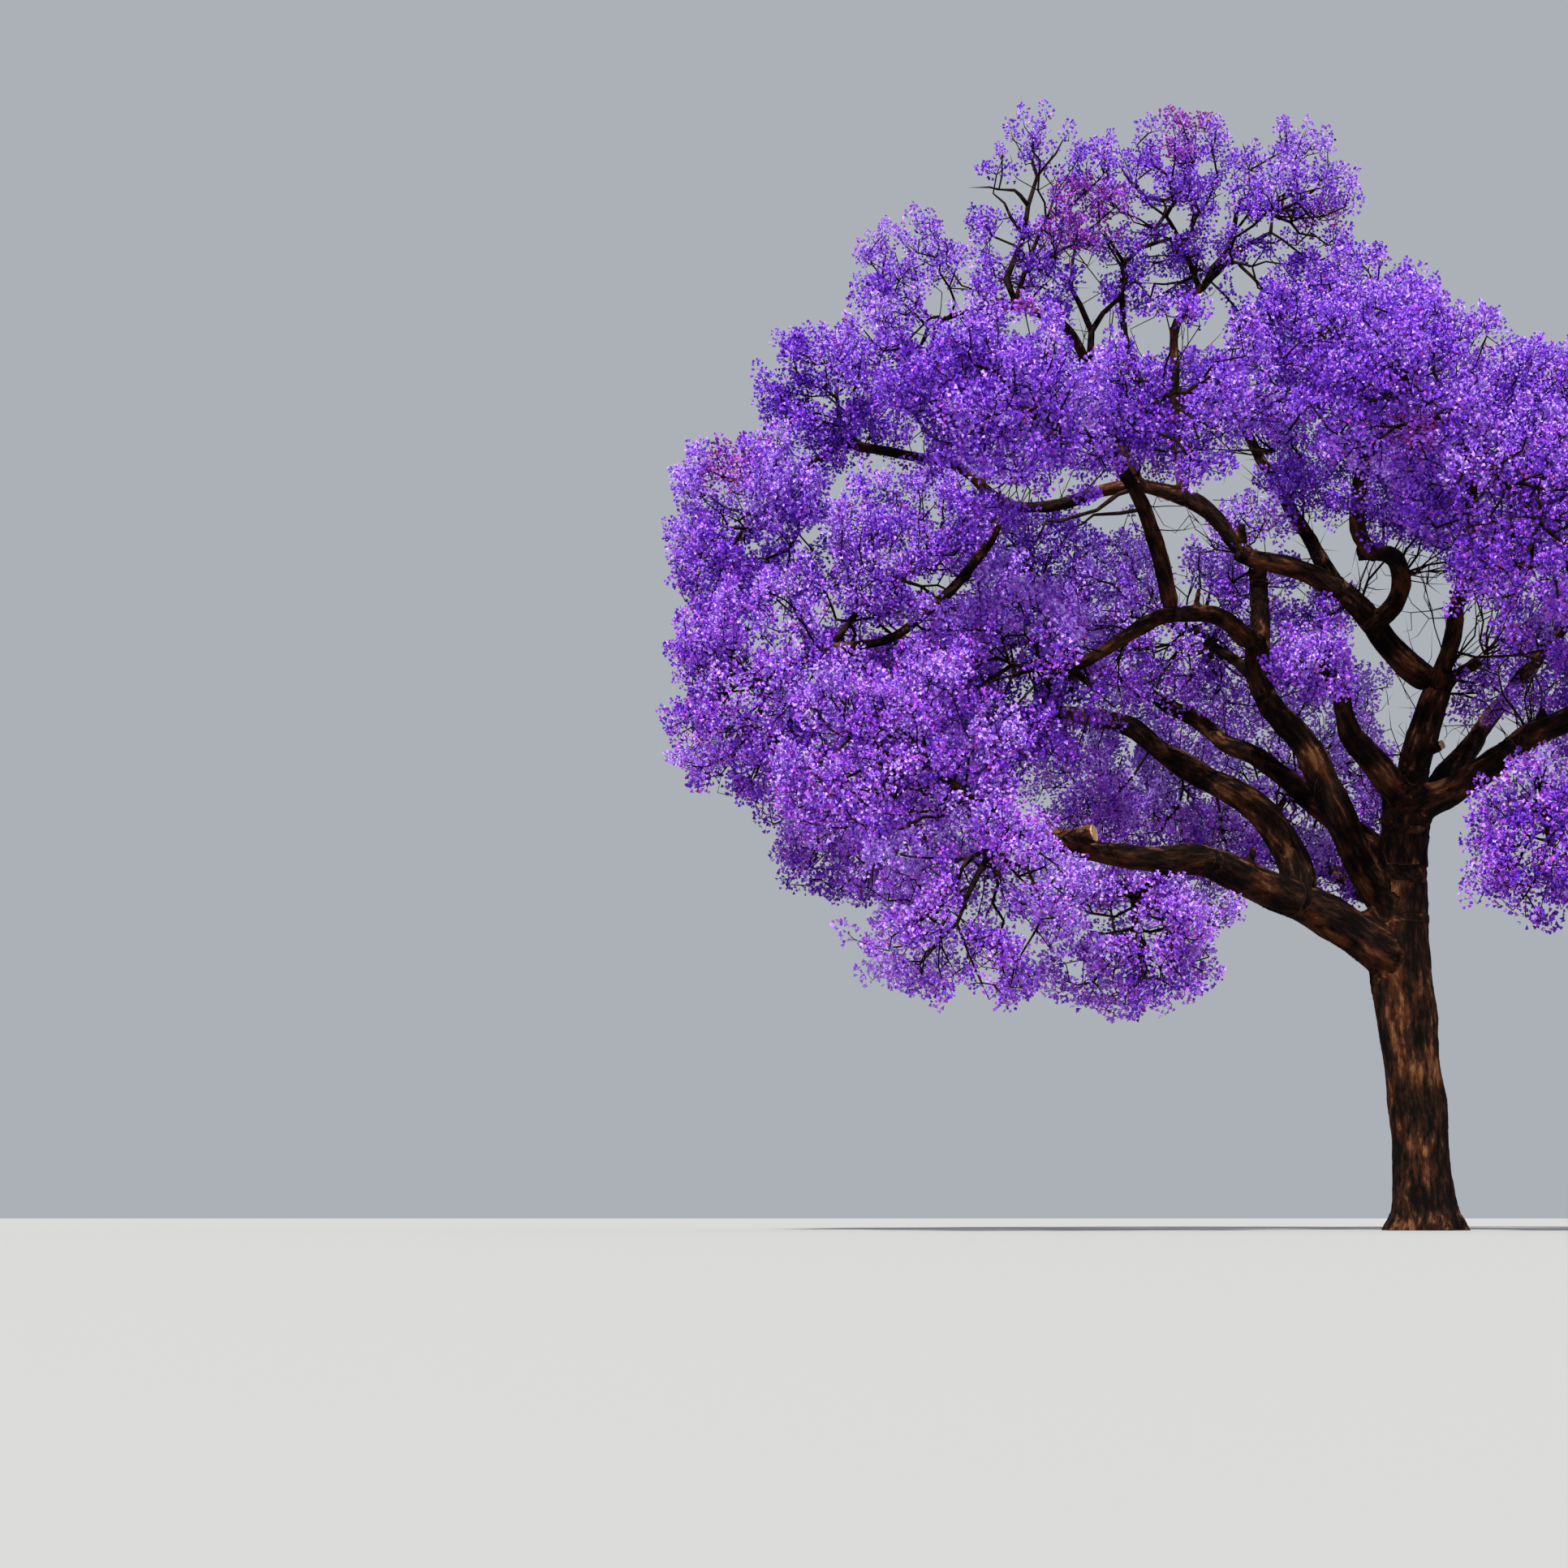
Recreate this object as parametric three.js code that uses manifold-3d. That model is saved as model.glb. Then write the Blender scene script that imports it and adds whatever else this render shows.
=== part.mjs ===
// Jacaranda tree in full bloom: a slightly leaning trunk, spreading boughs and open masses of
// blossom. Millimetres, +Z up. The origin is on the ground, in the middle of the trunk's flat cut.

import * as THREE from 'three';
import { mergeVertices } from 'three/addons/utils/BufferGeometryUtils.js';
import Module from 'manifold-3d';

const wasm = await Module();
wasm.setup();

// Trunk
const TRUNK = { end: [-50, 0, 6000], bow: [-100, 0, 0], wave: [50, 0, 0], radii: [385, 315] };
const TRUNK_SIDES = 15;
const TRUNK_STEPS = 11;
const FLARE_WIDTH = 0.42; // how much wider the root flare is at the ground
const FLARE_HEIGHT = 330; // height over which the flare dies out
const ROOT_LOBES = 5;
const LOBE_DEPTH = 0.16;
const FORK_SWELLING = 0.12;
const FORK_FADE = 12;
const TRUNK_TAPER = 1.2; // the taper runs out this much sooner than the height
const TRUNK_FLATNESS = 2.2; // bunches the trunk's rings towards the ground

// Boughs: what each grows from and how far along that, its end, its bow and its S-shaped wave off
// the straight line, and its radii at both ends
const BOUGHS = {
  low_left: { from: 'trunk', at: 0.6, end: [-5800, -2400, 5150], bow: [100, 100, 350],
    wave: [-50, 200, 150], radii: [270, 80] },
  low_shoot: { from: 'low_left', at: 0.52, end: [-4050, -1500, 4300], bow: [0, 0, 150],
    wave: [0, 0, 0], radii: [75, 55] },
  rising_left: { from: 'low_left', at: 0.27, end: [-5750, 2000, 7300], bow: [650, 150, 800],
    wave: [100, -100, -50], radii: [190, 70] },
  mid_left: { from: 'trunk', at: 0.7, end: [-2100, 0, 8100], bow: [-100, 200, -50],
    wave: [50, 0, 0], radii: [210, 145] },
  level_left: { from: 'mid_left', at: 0.97, end: [-4900, -2100, 7250], bow: [50, -150, 550],
    wave: [0, 50, 100], radii: [115, 70] },
  climbing_left: { from: 'level_left', at: 0.48, end: [-4350, -2200, 10250], bow: [150, 50, 100],
    wave: [0, 0, 0], radii: [95, 70] },
  inner_back: { from: 'mid_left', at: 0.82, end: [-2500, 1600, 8300], bow: [150, 50, -50],
    wave: [0, 0, 50], radii: [105, 68] },
  inner_left: { from: 'trunk', at: 0.965, end: [-1200, -1400, 7250], bow: [-200, 250, 50],
    wave: [0, 0, 0], radii: [190, 90] },
  upright: { from: 'trunk', at: 0.97, end: [550, 500, 7600], bow: [-50, 0, 0],
    wave: [0, -50, 0], radii: [235, 180] },
  great_left: { from: 'upright', at: 0.95, end: [-2300, 200, 9350], bow: [150, -50, 250],
    wave: [-50, 0, -100], radii: [165, 125] },
  arched_left: { from: 'great_left', at: 0.97, end: [-3700, 400, 10350], bow: [100, -50, 200],
    wave: [0, 0, 0], radii: [115, 90] },
  far_left: { from: 'arched_left', at: 0.96, end: [-7850, 1000, 11100], bow: [0, 0, -350],
    wave: [-50, 0, -200], radii: [85, 65] },
  falling_left: { from: 'far_left', at: 0.45, end: [-8000, -500, 7850], bow: [500, -150, -400],
    wave: [50, -50, 100], radii: [75, 65] },
  crown_lead: { from: 'arched_left', at: 0.6, end: [-2650, 600, 13300], bow: [-350, 150, 50],
    wave: [50, 0, -50], radii: [80, 60] },
  crown_left: { from: 'arched_left', at: 0.95, end: [-5400, 350, 12950], bow: [200, 50, 200],
    wave: [-100, 100, -100], radii: [78, 60] },
  hooked: { from: 'great_left', at: 0.36, end: [-400, -1700, 11050], bow: [-50, -150, -150],
    wave: [350, 50, 0], radii: [120, 70] },
  right: { from: 'trunk', at: 0.955, end: [2450, -1300, 7150], bow: [50, 0, -50],
    wave: [50, 100, 0], radii: [220, 145] },
  right_high: { from: 'right', at: 0.95, end: [3500, -200, 9950], bow: [300, -50, -100],
    wave: [0, -50, 0], radii: [120, 70] },
  right_far: { from: 'right', at: 0.95, end: [4650, -1900, 6600], bow: [0, -100, 250],
    wave: [0, 0, 50], radii: [110, 70] },
  right_low: { from: 'right', at: 0.5, end: [1200, -2300, 5800], bow: [-50, -50, 150],
    wave: [0, 0, -50], radii: [80, 60] },
  back_left: { from: 'trunk', at: 0.8, end: [-4700, 4000, 8900], bow: [250, 150, 100],
    wave: [-50, -100, 50], radii: [190, 75] },
  back_low: { from: 'trunk', at: 0.72, end: [-1400, 4800, 5900], bow: [250, 50, -100],
    wave: [-50, 0, 0], radii: [170, 75] },
  back_right: { from: 'trunk', at: 0.9, end: [3500, 3700, 9400], bow: [-50, 50, 0],
    wave: [0, 0, 0], radii: [180, 75] },
  back_high: { from: 'great_left', at: 0.55, end: [-1850, 3100, 12050], bow: [-50, -100, 50],
    wave: [-50, -50, 50], radii: [110, 70] },
  front_lead: { from: 'upright', at: 0.9, end: [150, -3300, 9950], bow: [250, 100, 100],
    wave: [0, 50, 50], radii: [120, 70] },
};
const BOUGH_STEP = 1000; // length of one ring step
const BOUGH_STEPS_MOST = 8;
const THICK_BOUGH = 150; // radius from which a bough has more sides
const SIDES_THICK = 7;
const SIDES_THIN = 6;
const COLLAR = 0.3; // widening where a bough leaves its parent
const COLLAR_FADE = 12;
const GAP = 0.35; // clearance between solids that meet
const WELD = 1e-4;

// Masses of blossom: the bough that carries each, where its middle is, its half widths, and how
// many twigs branch in it. The top of the crown is the thinnest.
const MASSES = {
  lower_left: { bough: 'low_left', at: [-6250, -2500, 4250], radii: [1850, 1950, 1600], twigs: 8 },
  under_left: { bough: 'low_shoot', at: [-3950, -1100, 3950], radii: [1650, 1700, 1350], twigs: 7 },
  left_front: { bough: 'low_left', at: [-7100, -2400, 6000], radii: [1900, 1950, 1700], twigs: 8 },
  left_back: { bough: 'rising_left', at: [-7150, 1700, 6050], radii: [2100, 2050, 1850], twigs: 9 },
  left_middle: { bough: 'level_left', at: [-5650, -1500, 7250], radii: [1850, 1900, 1600], twigs: 8 },
  inner_back: { bough: 'inner_back', at: [-2700, 2600, 8700], radii: [2400, 2050, 1850], twigs: 9 },
  band_middle: { bough: 'climbing_left', at: [-3550, -3000, 10750], radii: [1750, 1900, 1300], twigs: 7 },
  band_left: { bough: 'climbing_left', at: [-5650, -3200, 10500], radii: [1900, 1950, 1500], twigs: 8 },
  inner: { bough: 'inner_left', at: [-1650, -1900, 7400], radii: [750, 800, 600], twigs: 5 },
  far_tuft: { bough: 'far_left', at: [-7850, 1000, 11800], radii: [1250, 1600, 1350], twigs: 5 },
  far_side: { bough: 'far_left', at: [-9050, 800, 9800], radii: [1700, 1950, 1700], twigs: 8 },
  falling_outer: { bough: 'falling_left', at: [-9050, -600, 7250], radii: [1750, 2050, 1800], twigs: 9 },
  falling_inner: { bough: 'falling_left', at: [-6950, 500, 9000], radii: [1950, 1850, 1750], twigs: 8 },
  top_middle: { bough: 'crown_lead', at: [-3150, 600, 14300], radii: [1600, 1950, 1750], twigs: 7 },
  top_right: { bough: 'crown_lead', at: [-1700, 400, 14000], radii: [1400, 1800, 1850], twigs: 7 },
  top_left: { bough: 'crown_left', at: [-4900, 200, 14100], radii: [1500, 1800, 1700], twigs: 7 },
  upper_left: { bough: 'crown_left', at: [-6550, 700, 12700], radii: [1550, 1900, 1750], twigs: 9 },
  right_shoulder: { bough: 'hooked', at: [-1100, -1100, 11850], radii: [1700, 2000, 1550], twigs: 8 },
  right_upper: { bough: 'hooked', at: [700, -1500, 10650], radii: [1850, 1950, 1650], twigs: 8 },
  right_top: { bough: 'right_high', at: [2850, 200, 10850], radii: [2050, 2400, 1750], twigs: 9 },
  right_round: { bough: 'right_high', at: [4450, 0, 9600], radii: [2150, 2400, 1750], twigs: 9 },
  right_edge: { bough: 'right_far', at: [4950, -1800, 7400], radii: [1950, 2300, 1800], twigs: 9 },
  right_skirt: { bough: 'right_far', at: [4200, -2200, 5400], radii: [1800, 2000, 1550], twigs: 8 },
  right_drooping: { bough: 'right_low', at: [1150, -2800, 4950], radii: [1300, 1550, 1250], twigs: 6 },
  back_left_side: { bough: 'back_left', at: [-6200, 4500, 8200], radii: [2100, 2200, 1900], twigs: 9 },
  back_left_top: { bough: 'back_left', at: [-4900, 4500, 10200], radii: [2150, 2100, 1700], twigs: 7 },
  back_low_left: { bough: 'back_low', at: [-3000, 5000, 6400], radii: [2250, 2300, 1850], twigs: 8 },
  back_low_right: { bough: 'back_low', at: [-300, 5350, 7150], radii: [2200, 2300, 1900], twigs: 8 },
  back_right_top: { bough: 'back_right', at: [2500, 3900, 11000], radii: [2400, 2450, 1850], twigs: 9 },
  back_right_side: { bough: 'back_right', at: [3950, 3700, 8350], radii: [2400, 2400, 2050], twigs: 9 },
  back_crest: { bough: 'back_high', at: [100, 3300, 12450], radii: [2400, 2200, 1950], twigs: 9 },
  back_band: { bough: 'back_high', at: [-3700, 3600, 12600], radii: [2350, 2050, 1600], twigs: 8 },
  front_crest: { bough: 'front_lead', at: [-800, -3900, 10700], radii: [1600, 1800, 1300], twigs: 7 },
  front_side: { bough: 'front_lead', at: [850, -3900, 8900], radii: [1850, 2000, 1700], twigs: 9 },
};
const SPACE_GAP = 12; // half the clear space between two masses
const NEIGHBOURHOOD = 2; // a plane further off than this many half widths is left out
const STEM_WIDTH = 0.5; // stem radius beside its bough's tip radius
const STEM_SPREAD = 0.56; // how far off the tip's middle a stem that shares it starts
const STEM_END = 26; // stem radius in the middle of its mass
const CROWDED_STEM = 0.6; // thinner by this where three share a tip
const STEM_RISE = 0.08; // bow of the stem beside its length
const STEM_SIDES = 4;
const STEM_STEPS = 3;
const STEM_NODES = 16;
const TWIG_RADIUS = 18;
const TWIG_THINNING = 0.8; // a twig on a twig
const SPRAY_LENGTH = 0.8; // the spray's sizes beside its mass's mean half width
const SPRAY_WIDTH = 0.4;
const SPRAY_THICKNESS = 0.28;
const SPRAY_SIDES = 3;
const SPRAY_WIDTHS = [1, 0.75, 0.5]; // tried in turn until the spray fits
const SIDE_SPRAYS = [0.35, 0.7]; // where the side sprays leave the bare part of their twig
const SIDE_SPRAY_SCALE = 0.85;
const SIDE_SPRAY_LEAN = 0.55; // how far a side spray leans towards its twig's tip
const SIDE_SPRAY_LIFT = 0.2; // how far the first side spray points upwards
const SIDE_SPRAY_SINK = 8;
const SPRAY_BELLY = 0.5; // where a spray is widest
const SPRAY_SHARE_MOST = 0.75; // a spray's greatest share of its mass's reach
const TWIG_END = 0.7; // twig radius at the spray beside that at its foot
const TURN_JITTER = 0.6;
const REACH_SHARE = 0.985; // how near the edge of its space a spray's tip comes
const LIMB_CLEARANCE = 15;
const LIMB_SAMPLES = 14;
const SPRAY_SAMPLES = 6;
const SPRAY_ROOM = 0.7; // the room a spray takes from its neighbours beside its width

// Finish
const BARK = { color: 0x46362a, roughness: 0.95, metalness: 0 };
const BLOSSOM_COLOURS = [0x8a63d2, 0x7348bd, 0x9a78dc];
const BLOSSOM_ROUGHNESS = 0.85;

const GOLDEN_ANGLE = Math.PI * (3 - Math.sqrt(5));
const UPWARDS = new THREE.Vector3(0, 1, 0); // the long axis of a turned shape

function vector(numbers) {
  return new THREE.Vector3(...numbers);
}

function mix(a, b, t) {
  return a + (b - a) * t;
}

// Seeded random numbers from 0 to 1
function seeded(seed) {
  let state = seed * 7919 + 12345;
  return () => {
    state = (state * 48271) % 2147483647;
    return state / 2147483647;
  };
}

// The middle line of a limb: a straight line, bowed to one side and waved to both
class LimbCurve extends THREE.Curve {
  constructor(start, end, bow, wave) {
    super();
    this.start = start;
    this.end = end;
    this.bow = bow;
    this.wave = wave;
  }

  getPoint(t, target = new THREE.Vector3()) {
    target.copy(this.start).lerp(this.end, t);
    target.addScaledVector(this.bow, Math.sin(Math.PI * t));
    return target.addScaledVector(this.wave, Math.sin(2 * Math.PI * t));
  }
}

// Closed mesh to solid, with shared corners merged and empty faces left out
function toSolid(geometry) {
  const bare = geometry.clone();
  bare.deleteAttribute('normal');
  bare.deleteAttribute('uv');
  const merged = mergeVertices(bare, WELD);
  const corners = merged.index.array;
  const faces = [];
  for (let i = 0; i < corners.length; i += 3) {
    const [a, b, c] = corners.slice(i, i + 3);
    if (a !== b && b !== c && c !== a) faces.push(a, b, c);
  }
  const vertProperties = new Float32Array(merged.attributes.position.array);
  return new wasm.Manifold(new wasm.Mesh({ numProp: 3, vertProperties, triVerts: new Uint32Array(faces) }));
}

function toGeometry(solid, origin) {
  const { vertProperties, triVerts } = solid.getMesh();
  const geometry = new THREE.BufferGeometry();
  geometry.setAttribute('position', new THREE.BufferAttribute(vertProperties, 3));
  geometry.setIndex(new THREE.BufferAttribute(triVerts, 1));
  geometry.translate(-origin.x, -origin.y, -origin.z);
  geometry.computeVertexNormals();
  return geometry;
}

// The largest closed body, without loose scraps and without sealed hollows
function largestBody(solid) {
  const bodies = solid.decompose();
  bodies.sort((a, b) => b.volume() - a.volume());
  return bodies[0];
}

// A cylinder with its rings set square to a curve. radiusAt gives the radius along it and round it.
function limbSolid(curve, radiusAt, sides, steps, grow) {
  const geometry = new THREE.CylinderGeometry(1, 1, 1, sides, steps);
  const frames = curve.computeFrenetFrames(steps, false);
  const corners = geometry.attributes.position;
  const point = new THREE.Vector3();
  for (let i = 0; i < corners.count; i++) {
    const step = Math.round((corners.getY(i) + 0.5) * steps);
    const t = step / steps;
    const x = corners.getX(i);
    const z = corners.getZ(i);
    const radius = Math.hypot(x, z) * (radiusAt(t, Math.atan2(z, x)) + grow);
    const angle = Math.atan2(z, x);
    curve.getPointAt(t, point);
    point.addScaledVector(frames.normals[step], radius * Math.cos(angle));
    point.addScaledVector(frames.binormals[step], -radius * Math.sin(angle));
    if (step === 0) point.addScaledVector(frames.tangents[0], -grow);
    if (step === steps) point.addScaledVector(frames.tangents[steps], grow);
    corners.setXYZ(i, point.x, point.y, point.z);
  }
  return toSolid(geometry);
}

function trunkRadius(t, angle) {
  const height = t * TRUNK.end[2];
  const flare = Math.exp(-height / FLARE_HEIGHT);
  const lobes = 1 + LOBE_DEPTH * flare * Math.cos(ROOT_LOBES * angle);
  const taper = mix(TRUNK.radii[0], TRUNK.radii[1], Math.min(t * TRUNK_TAPER, 1));
  return taper * (1 + FLARE_WIDTH * flare) * lobes * (1 + FORK_SWELLING * t ** FORK_FADE);
}

// The trunk's rings stay level, so that the cut at the ground is flat, and stand closer near it
function trunkSolid(curve, grow) {
  const geometry = new THREE.CylinderGeometry(1, 1, 1, TRUNK_SIDES, TRUNK_STEPS);
  const corners = geometry.attributes.position;
  const point = new THREE.Vector3();
  for (let i = 0; i < corners.count; i++) {
    const t = (corners.getY(i) + 0.5) ** TRUNK_FLATNESS;
    const angle = Math.atan2(corners.getZ(i), corners.getX(i));
    const radius = Math.hypot(corners.getX(i), corners.getZ(i)) * (trunkRadius(t, angle) + grow);
    curve.getPoint(t, point);
    const height = t === 0 ? -grow : point.z + (t === 1 ? grow : 0);
    corners.setXYZ(i, point.x + radius * Math.cos(angle), point.y - radius * Math.sin(angle), height);
  }
  return toSolid(geometry);
}

// Trunk and boughs. Each bough is cut clear of the limbs before it.
function growLimbs() {
  const foot = new THREE.Vector3();
  const trunkCurve = new LimbCurve(foot, vector(TRUNK.end), vector(TRUNK.bow), vector(TRUNK.wave));
  const limbs = { trunk: { curve: trunkCurve, radii: TRUNK.radii, solid: trunkSolid(trunkCurve, 0) } };
  let taken = trunkSolid(trunkCurve, GAP);
  for (const [name, row] of Object.entries(BOUGHS)) {
    const start = limbs[row.from].curve.getPoint(row.at);
    const curve = new LimbCurve(start, vector(row.end), vector(row.bow), vector(row.wave));
    const sides = row.radii[0] >= THICK_BOUGH ? SIDES_THICK : SIDES_THIN;
    const steps = Math.min(Math.ceil(curve.getLength() / BOUGH_STEP) + 1, BOUGH_STEPS_MOST);
    const radiusAt = (t) => mix(...row.radii, t) * (1 + COLLAR * (1 - t) ** COLLAR_FADE);
    const solid = largestBody(limbSolid(curve, radiusAt, sides, steps, 0).subtract(taken));
    taken = taken.add(limbSolid(curve, radiusAt, sides, steps, GAP));
    limbs[name] = { curve, radii: row.radii, solid };
  }
  return { limbs, taken };
}

// Distance from the middle of an ellipsoid to its skin along a direction
function skinDistance(radii, direction) {
  return 1 / Math.hypot(direction.x / radii[0], direction.y / radii[1], direction.z / radii[2]);
}

// The planes that part a mass from its neighbours, each as far from both as their sizes allow
function spaceOf(name) {
  const { at, radii } = MASSES[name];
  const middle = vector(at);
  const planes = [];
  for (const [other, row] of Object.entries(MASSES)) {
    if (other === name) continue;
    const normal = vector(row.at).sub(middle);
    const distance = normal.length();
    normal.normalize();
    const own = skinDistance(radii, normal);
    const theirs = skinDistance(row.radii, normal);
    const share = distance * own / (own + theirs) - SPACE_GAP;
    if (share < NEIGHBOURHOOD * own) planes.push({ normal, share });
  }
  return { middle, radii, planes };
}

function insideSpace(space, point, margin) {
  const offset = point.clone().sub(space.middle);
  const [a, b, c] = space.radii;
  if (Math.hypot(offset.x / a, offset.y / b, offset.z / c) > 1) return false;
  return space.planes.every((plane) => offset.dot(plane.normal) < plane.share - margin);
}

// How far a mass reaches from its middle along a direction
function reachOf(space, direction) {
  let reach = skinDistance(space.radii, direction);
  for (const plane of space.planes) {
    const slope = direction.dot(plane.normal);
    if (slope > 0) reach = Math.min(reach, plane.share / slope);
  }
  return reach;
}

// Whether a spindle, widest in its middle, stays clear of every knot in the list
function clearOf(from, to, width, obstacles) {
  const point = new THREE.Vector3();
  for (let i = 0; i <= SPRAY_SAMPLES; i++) {
    const t = i / SPRAY_SAMPLES;
    const bulge = width * (1 - Math.abs(2 * t - 1));
    point.copy(from).lerp(to, t);
    for (const knot of obstacles) {
      if (point.distanceTo(knot.point) < knot.radius + bulge + LIMB_CLEARANCE) return false;
    }
  }
  return true;
}

// Points along a spray with the room that it takes there
function sprayKnots({ root, tip, width }) {
  const knots = [];
  for (let i = 1; i < SPRAY_SAMPLES; i++) {
    const t = i / SPRAY_SAMPLES;
    const radius = SPRAY_ROOM * width * (1 - Math.abs(2 * t - 1));
    knots.push({ point: root.clone().lerp(tip, t), radius });
  }
  return knots;
}

// Points along a limb with its radius there
function knotsOf(curve, radii) {
  const knots = [];
  for (let i = 0; i <= LIMB_SAMPLES; i++) {
    const t = i / LIMB_SAMPLES;
    knots.push({ point: curve.getPoint(t), radius: mix(radii[0], radii[1], t) });
  }
  return knots;
}

// Stems that share a bough's tip start beside its middle, each on the side of its own mass
function stemOf(name, limbs) {
  const row = MASSES[name];
  const bough = limbs[row.bough];
  const tip = bough.curve.getPoint(1);
  const tangent = bough.curve.getTangent(1);
  const middle = vector(row.at);
  const sharing = Object.values(MASSES).filter((other) => other.bough === row.bough);
  const shared = new THREE.Vector3();
  sharing.forEach((other) => shared.addScaledVector(vector(other.at), 1 / sharing.length));
  const aside = middle.clone().sub(shared).projectOnPlane(tangent).normalize();
  const start = tip.clone().addScaledVector(aside, STEM_SPREAD * bough.radii[1]);
  start.addScaledVector(tangent, -bough.radii[1]);
  const rise = new THREE.Vector3(0, 0, STEM_RISE * start.distanceTo(middle));
  const curve = new LimbCurve(start, middle, rise, new THREE.Vector3());
  const share = sharing.length > 2 ? CROWDED_STEM : 1;
  return { curve, radii: [share * STEM_WIDTH * bough.radii[1], share * STEM_END] };
}

// The free point on the branching so far from which the shortest new twig reaches a place
function takeNearest(nodes, place) {
  nodes.sort((a, b) => a.point.distanceTo(place) - b.point.distanceTo(place));
  return nodes.shift();
}

// The spray at the widest of a few widths at which it keeps to its space, clear of limbs and of
// the sprays before it, or nothing
function fitted(spray, space, obstacles, bloom) {
  const middle = spray.root.clone().lerp(spray.tip, 0.5);
  if (!insideSpace(space, spray.tip, 0)) return null;
  for (const share of SPRAY_WIDTHS) {
    const width = spray.width * share;
    const inside = insideSpace(space, middle, width);
    const clear = inside && clearOf(spray.root, spray.tip, width, obstacles);
    if (clear && clearOf(spray.root, spray.tip, SPRAY_ROOM * width, bloom)) return { ...spray, width };
  }
  return null;
}

// A side spray leaves a place on its twig, turned round the twig by an angle
function sideSpray(twig, place, angle, size) {
  const along = twig.tip.clone().sub(twig.from).normalize();
  const across = new THREE.Vector3(-along.y, along.x, SIDE_SPRAY_LIFT).projectOnPlane(along).normalize();
  across.applyAxisAngle(along, angle);
  const axis = along.clone().multiplyScalar(SIDE_SPRAY_LEAN).add(across).normalize();
  const root = place.clone().addScaledVector(axis, -SIDE_SPRAY_SINK);
  const tip = place.clone().addScaledVector(axis, SIDE_SPRAY_SCALE * SPRAY_LENGTH * size);
  return { root, tip, width: SIDE_SPRAY_SCALE * SPRAY_WIDTH * size, roll: angle };
}

// Twigs and sprays of one mass. Directions are spread evenly over a sphere. Each is a twig that
// leaves the nearest branching and ends in a spray at the edge of the space, with side sprays.
function growMass(name, seed, stem, obstacles) {
  const { twigs: count, radii } = MASSES[name];
  const random = seeded(seed);
  const space = spaceOf(name);
  const size = (radii[0] + radii[1] + radii[2]) / 3;
  const turn = random() * 2 * Math.PI;
  const nodes = [];
  for (let i = 1; i <= STEM_NODES; i++) {
    const point = stem.curve.getPoint(i / STEM_NODES);
    if (insideSpace(space, point, TWIG_RADIUS)) nodes.push({ point, radius: TWIG_RADIUS });
  }
  const twigs = [];
  const sprays = [];
  const bloom = [];
  for (let i = 0; i < count; i++) {
    const height = 1 - 2 * (i + 0.5) / count;
    const angle = i * GOLDEN_ANGLE + turn + (random() - 0.5) * TURN_JITTER;
    const roll = random() * Math.PI;
    const flat = Math.sqrt(1 - height * height);
    const direction = new THREE.Vector3(flat * Math.cos(angle), flat * Math.sin(angle), height);
    const reach = reachOf(space, direction) * REACH_SHARE;
    const length = Math.min(SPRAY_LENGTH * size, SPRAY_SHARE_MOST * reach);
    const tip = space.middle.clone().addScaledVector(direction, reach);
    const neck = space.middle.clone().addScaledVector(direction, reach - length);
    const node = takeNearest(nodes, neck);
    const root = tip.clone().lerp(node.point, length / tip.distanceTo(node.point));
    const spray = fitted({ root, tip, width: SPRAY_WIDTH * size, roll }, space, obstacles, bloom);
    if (!spray || !clearOf(node.point, root, node.radius, [...obstacles, ...bloom])) continue;
    bloom.push(...sprayKnots(spray));
    const twig = { from: node.point, tip, radius: node.radius, spray };
    twigs.push(twig);
    SIDE_SPRAYS.forEach((at, side) => {
      const fork = node.point.clone().lerp(root, at);
      nodes.push({ point: fork, radius: node.radius * TWIG_THINNING });
      const beside = fitted(sideSpray(twig, fork, roll + side * Math.PI, size), space, obstacles, bloom);
      if (!beside) return;
      sprays.push(beside);
      bloom.push(...sprayKnots(beside));
    });
  }
  return { twigs, sprays };
}

// Turns a shape that points up the Y axis so that it runs from one point to another
function runBetween(geometry, from, to, roll) {
  const axis = to.clone().sub(from);
  const turn = new THREE.Quaternion().setFromUnitVectors(UPWARDS, axis.clone().normalize());
  geometry.rotateY(roll);
  geometry.applyQuaternion(turn);
  return geometry.translate(from.x, from.y, from.z);
}

// Profiles are half widths and heights, turned round the Y axis, then made flat like a blade
function turned(profile, sides, flatness) {
  const points = profile.map(([radius, height]) => new THREE.Vector2(radius, height));
  return new THREE.LatheGeometry(points, sides).scale(1, 1, flatness);
}

// A three-sided twig that widens into the spray at its end
function twigSolid({ from, tip, radius, spray }) {
  const length = from.distanceTo(tip);
  const neck = from.distanceTo(spray.root);
  const belly = mix(neck, length, SPRAY_BELLY);
  const thin = radius * TWIG_END;
  const profile = [[0, 0], [radius, 0], [thin, neck], [spray.width, belly], [0, length]];
  const flatness = SPRAY_THICKNESS / SPRAY_WIDTH;
  return toSolid(runBetween(turned(profile, SPRAY_SIDES, flatness), from, tip, spray.roll));
}

function spraySolid({ root, tip, width, roll }) {
  const length = root.distanceTo(tip);
  const profile = [[0, 0], [width, length * SPRAY_BELLY], [0, length]];
  const flatness = SPRAY_THICKNESS / SPRAY_WIDTH;
  return toSolid(runBetween(turned(profile, SPRAY_SIDES, flatness), root, tip, roll));
}

function massSolid(stem, growth, taken) {
  const radiusAt = (t) => mix(stem.radii[0], stem.radii[1], t);
  const pieces = [limbSolid(stem.curve, radiusAt, STEM_SIDES, STEM_STEPS, 0).subtract(taken)];
  growth.twigs.forEach((twig) => pieces.push(twigSolid(twig)));
  growth.sprays.forEach((spray) => pieces.push(spraySolid(spray)));
  return largestBody(wasm.Manifold.union(pieces));
}

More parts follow.
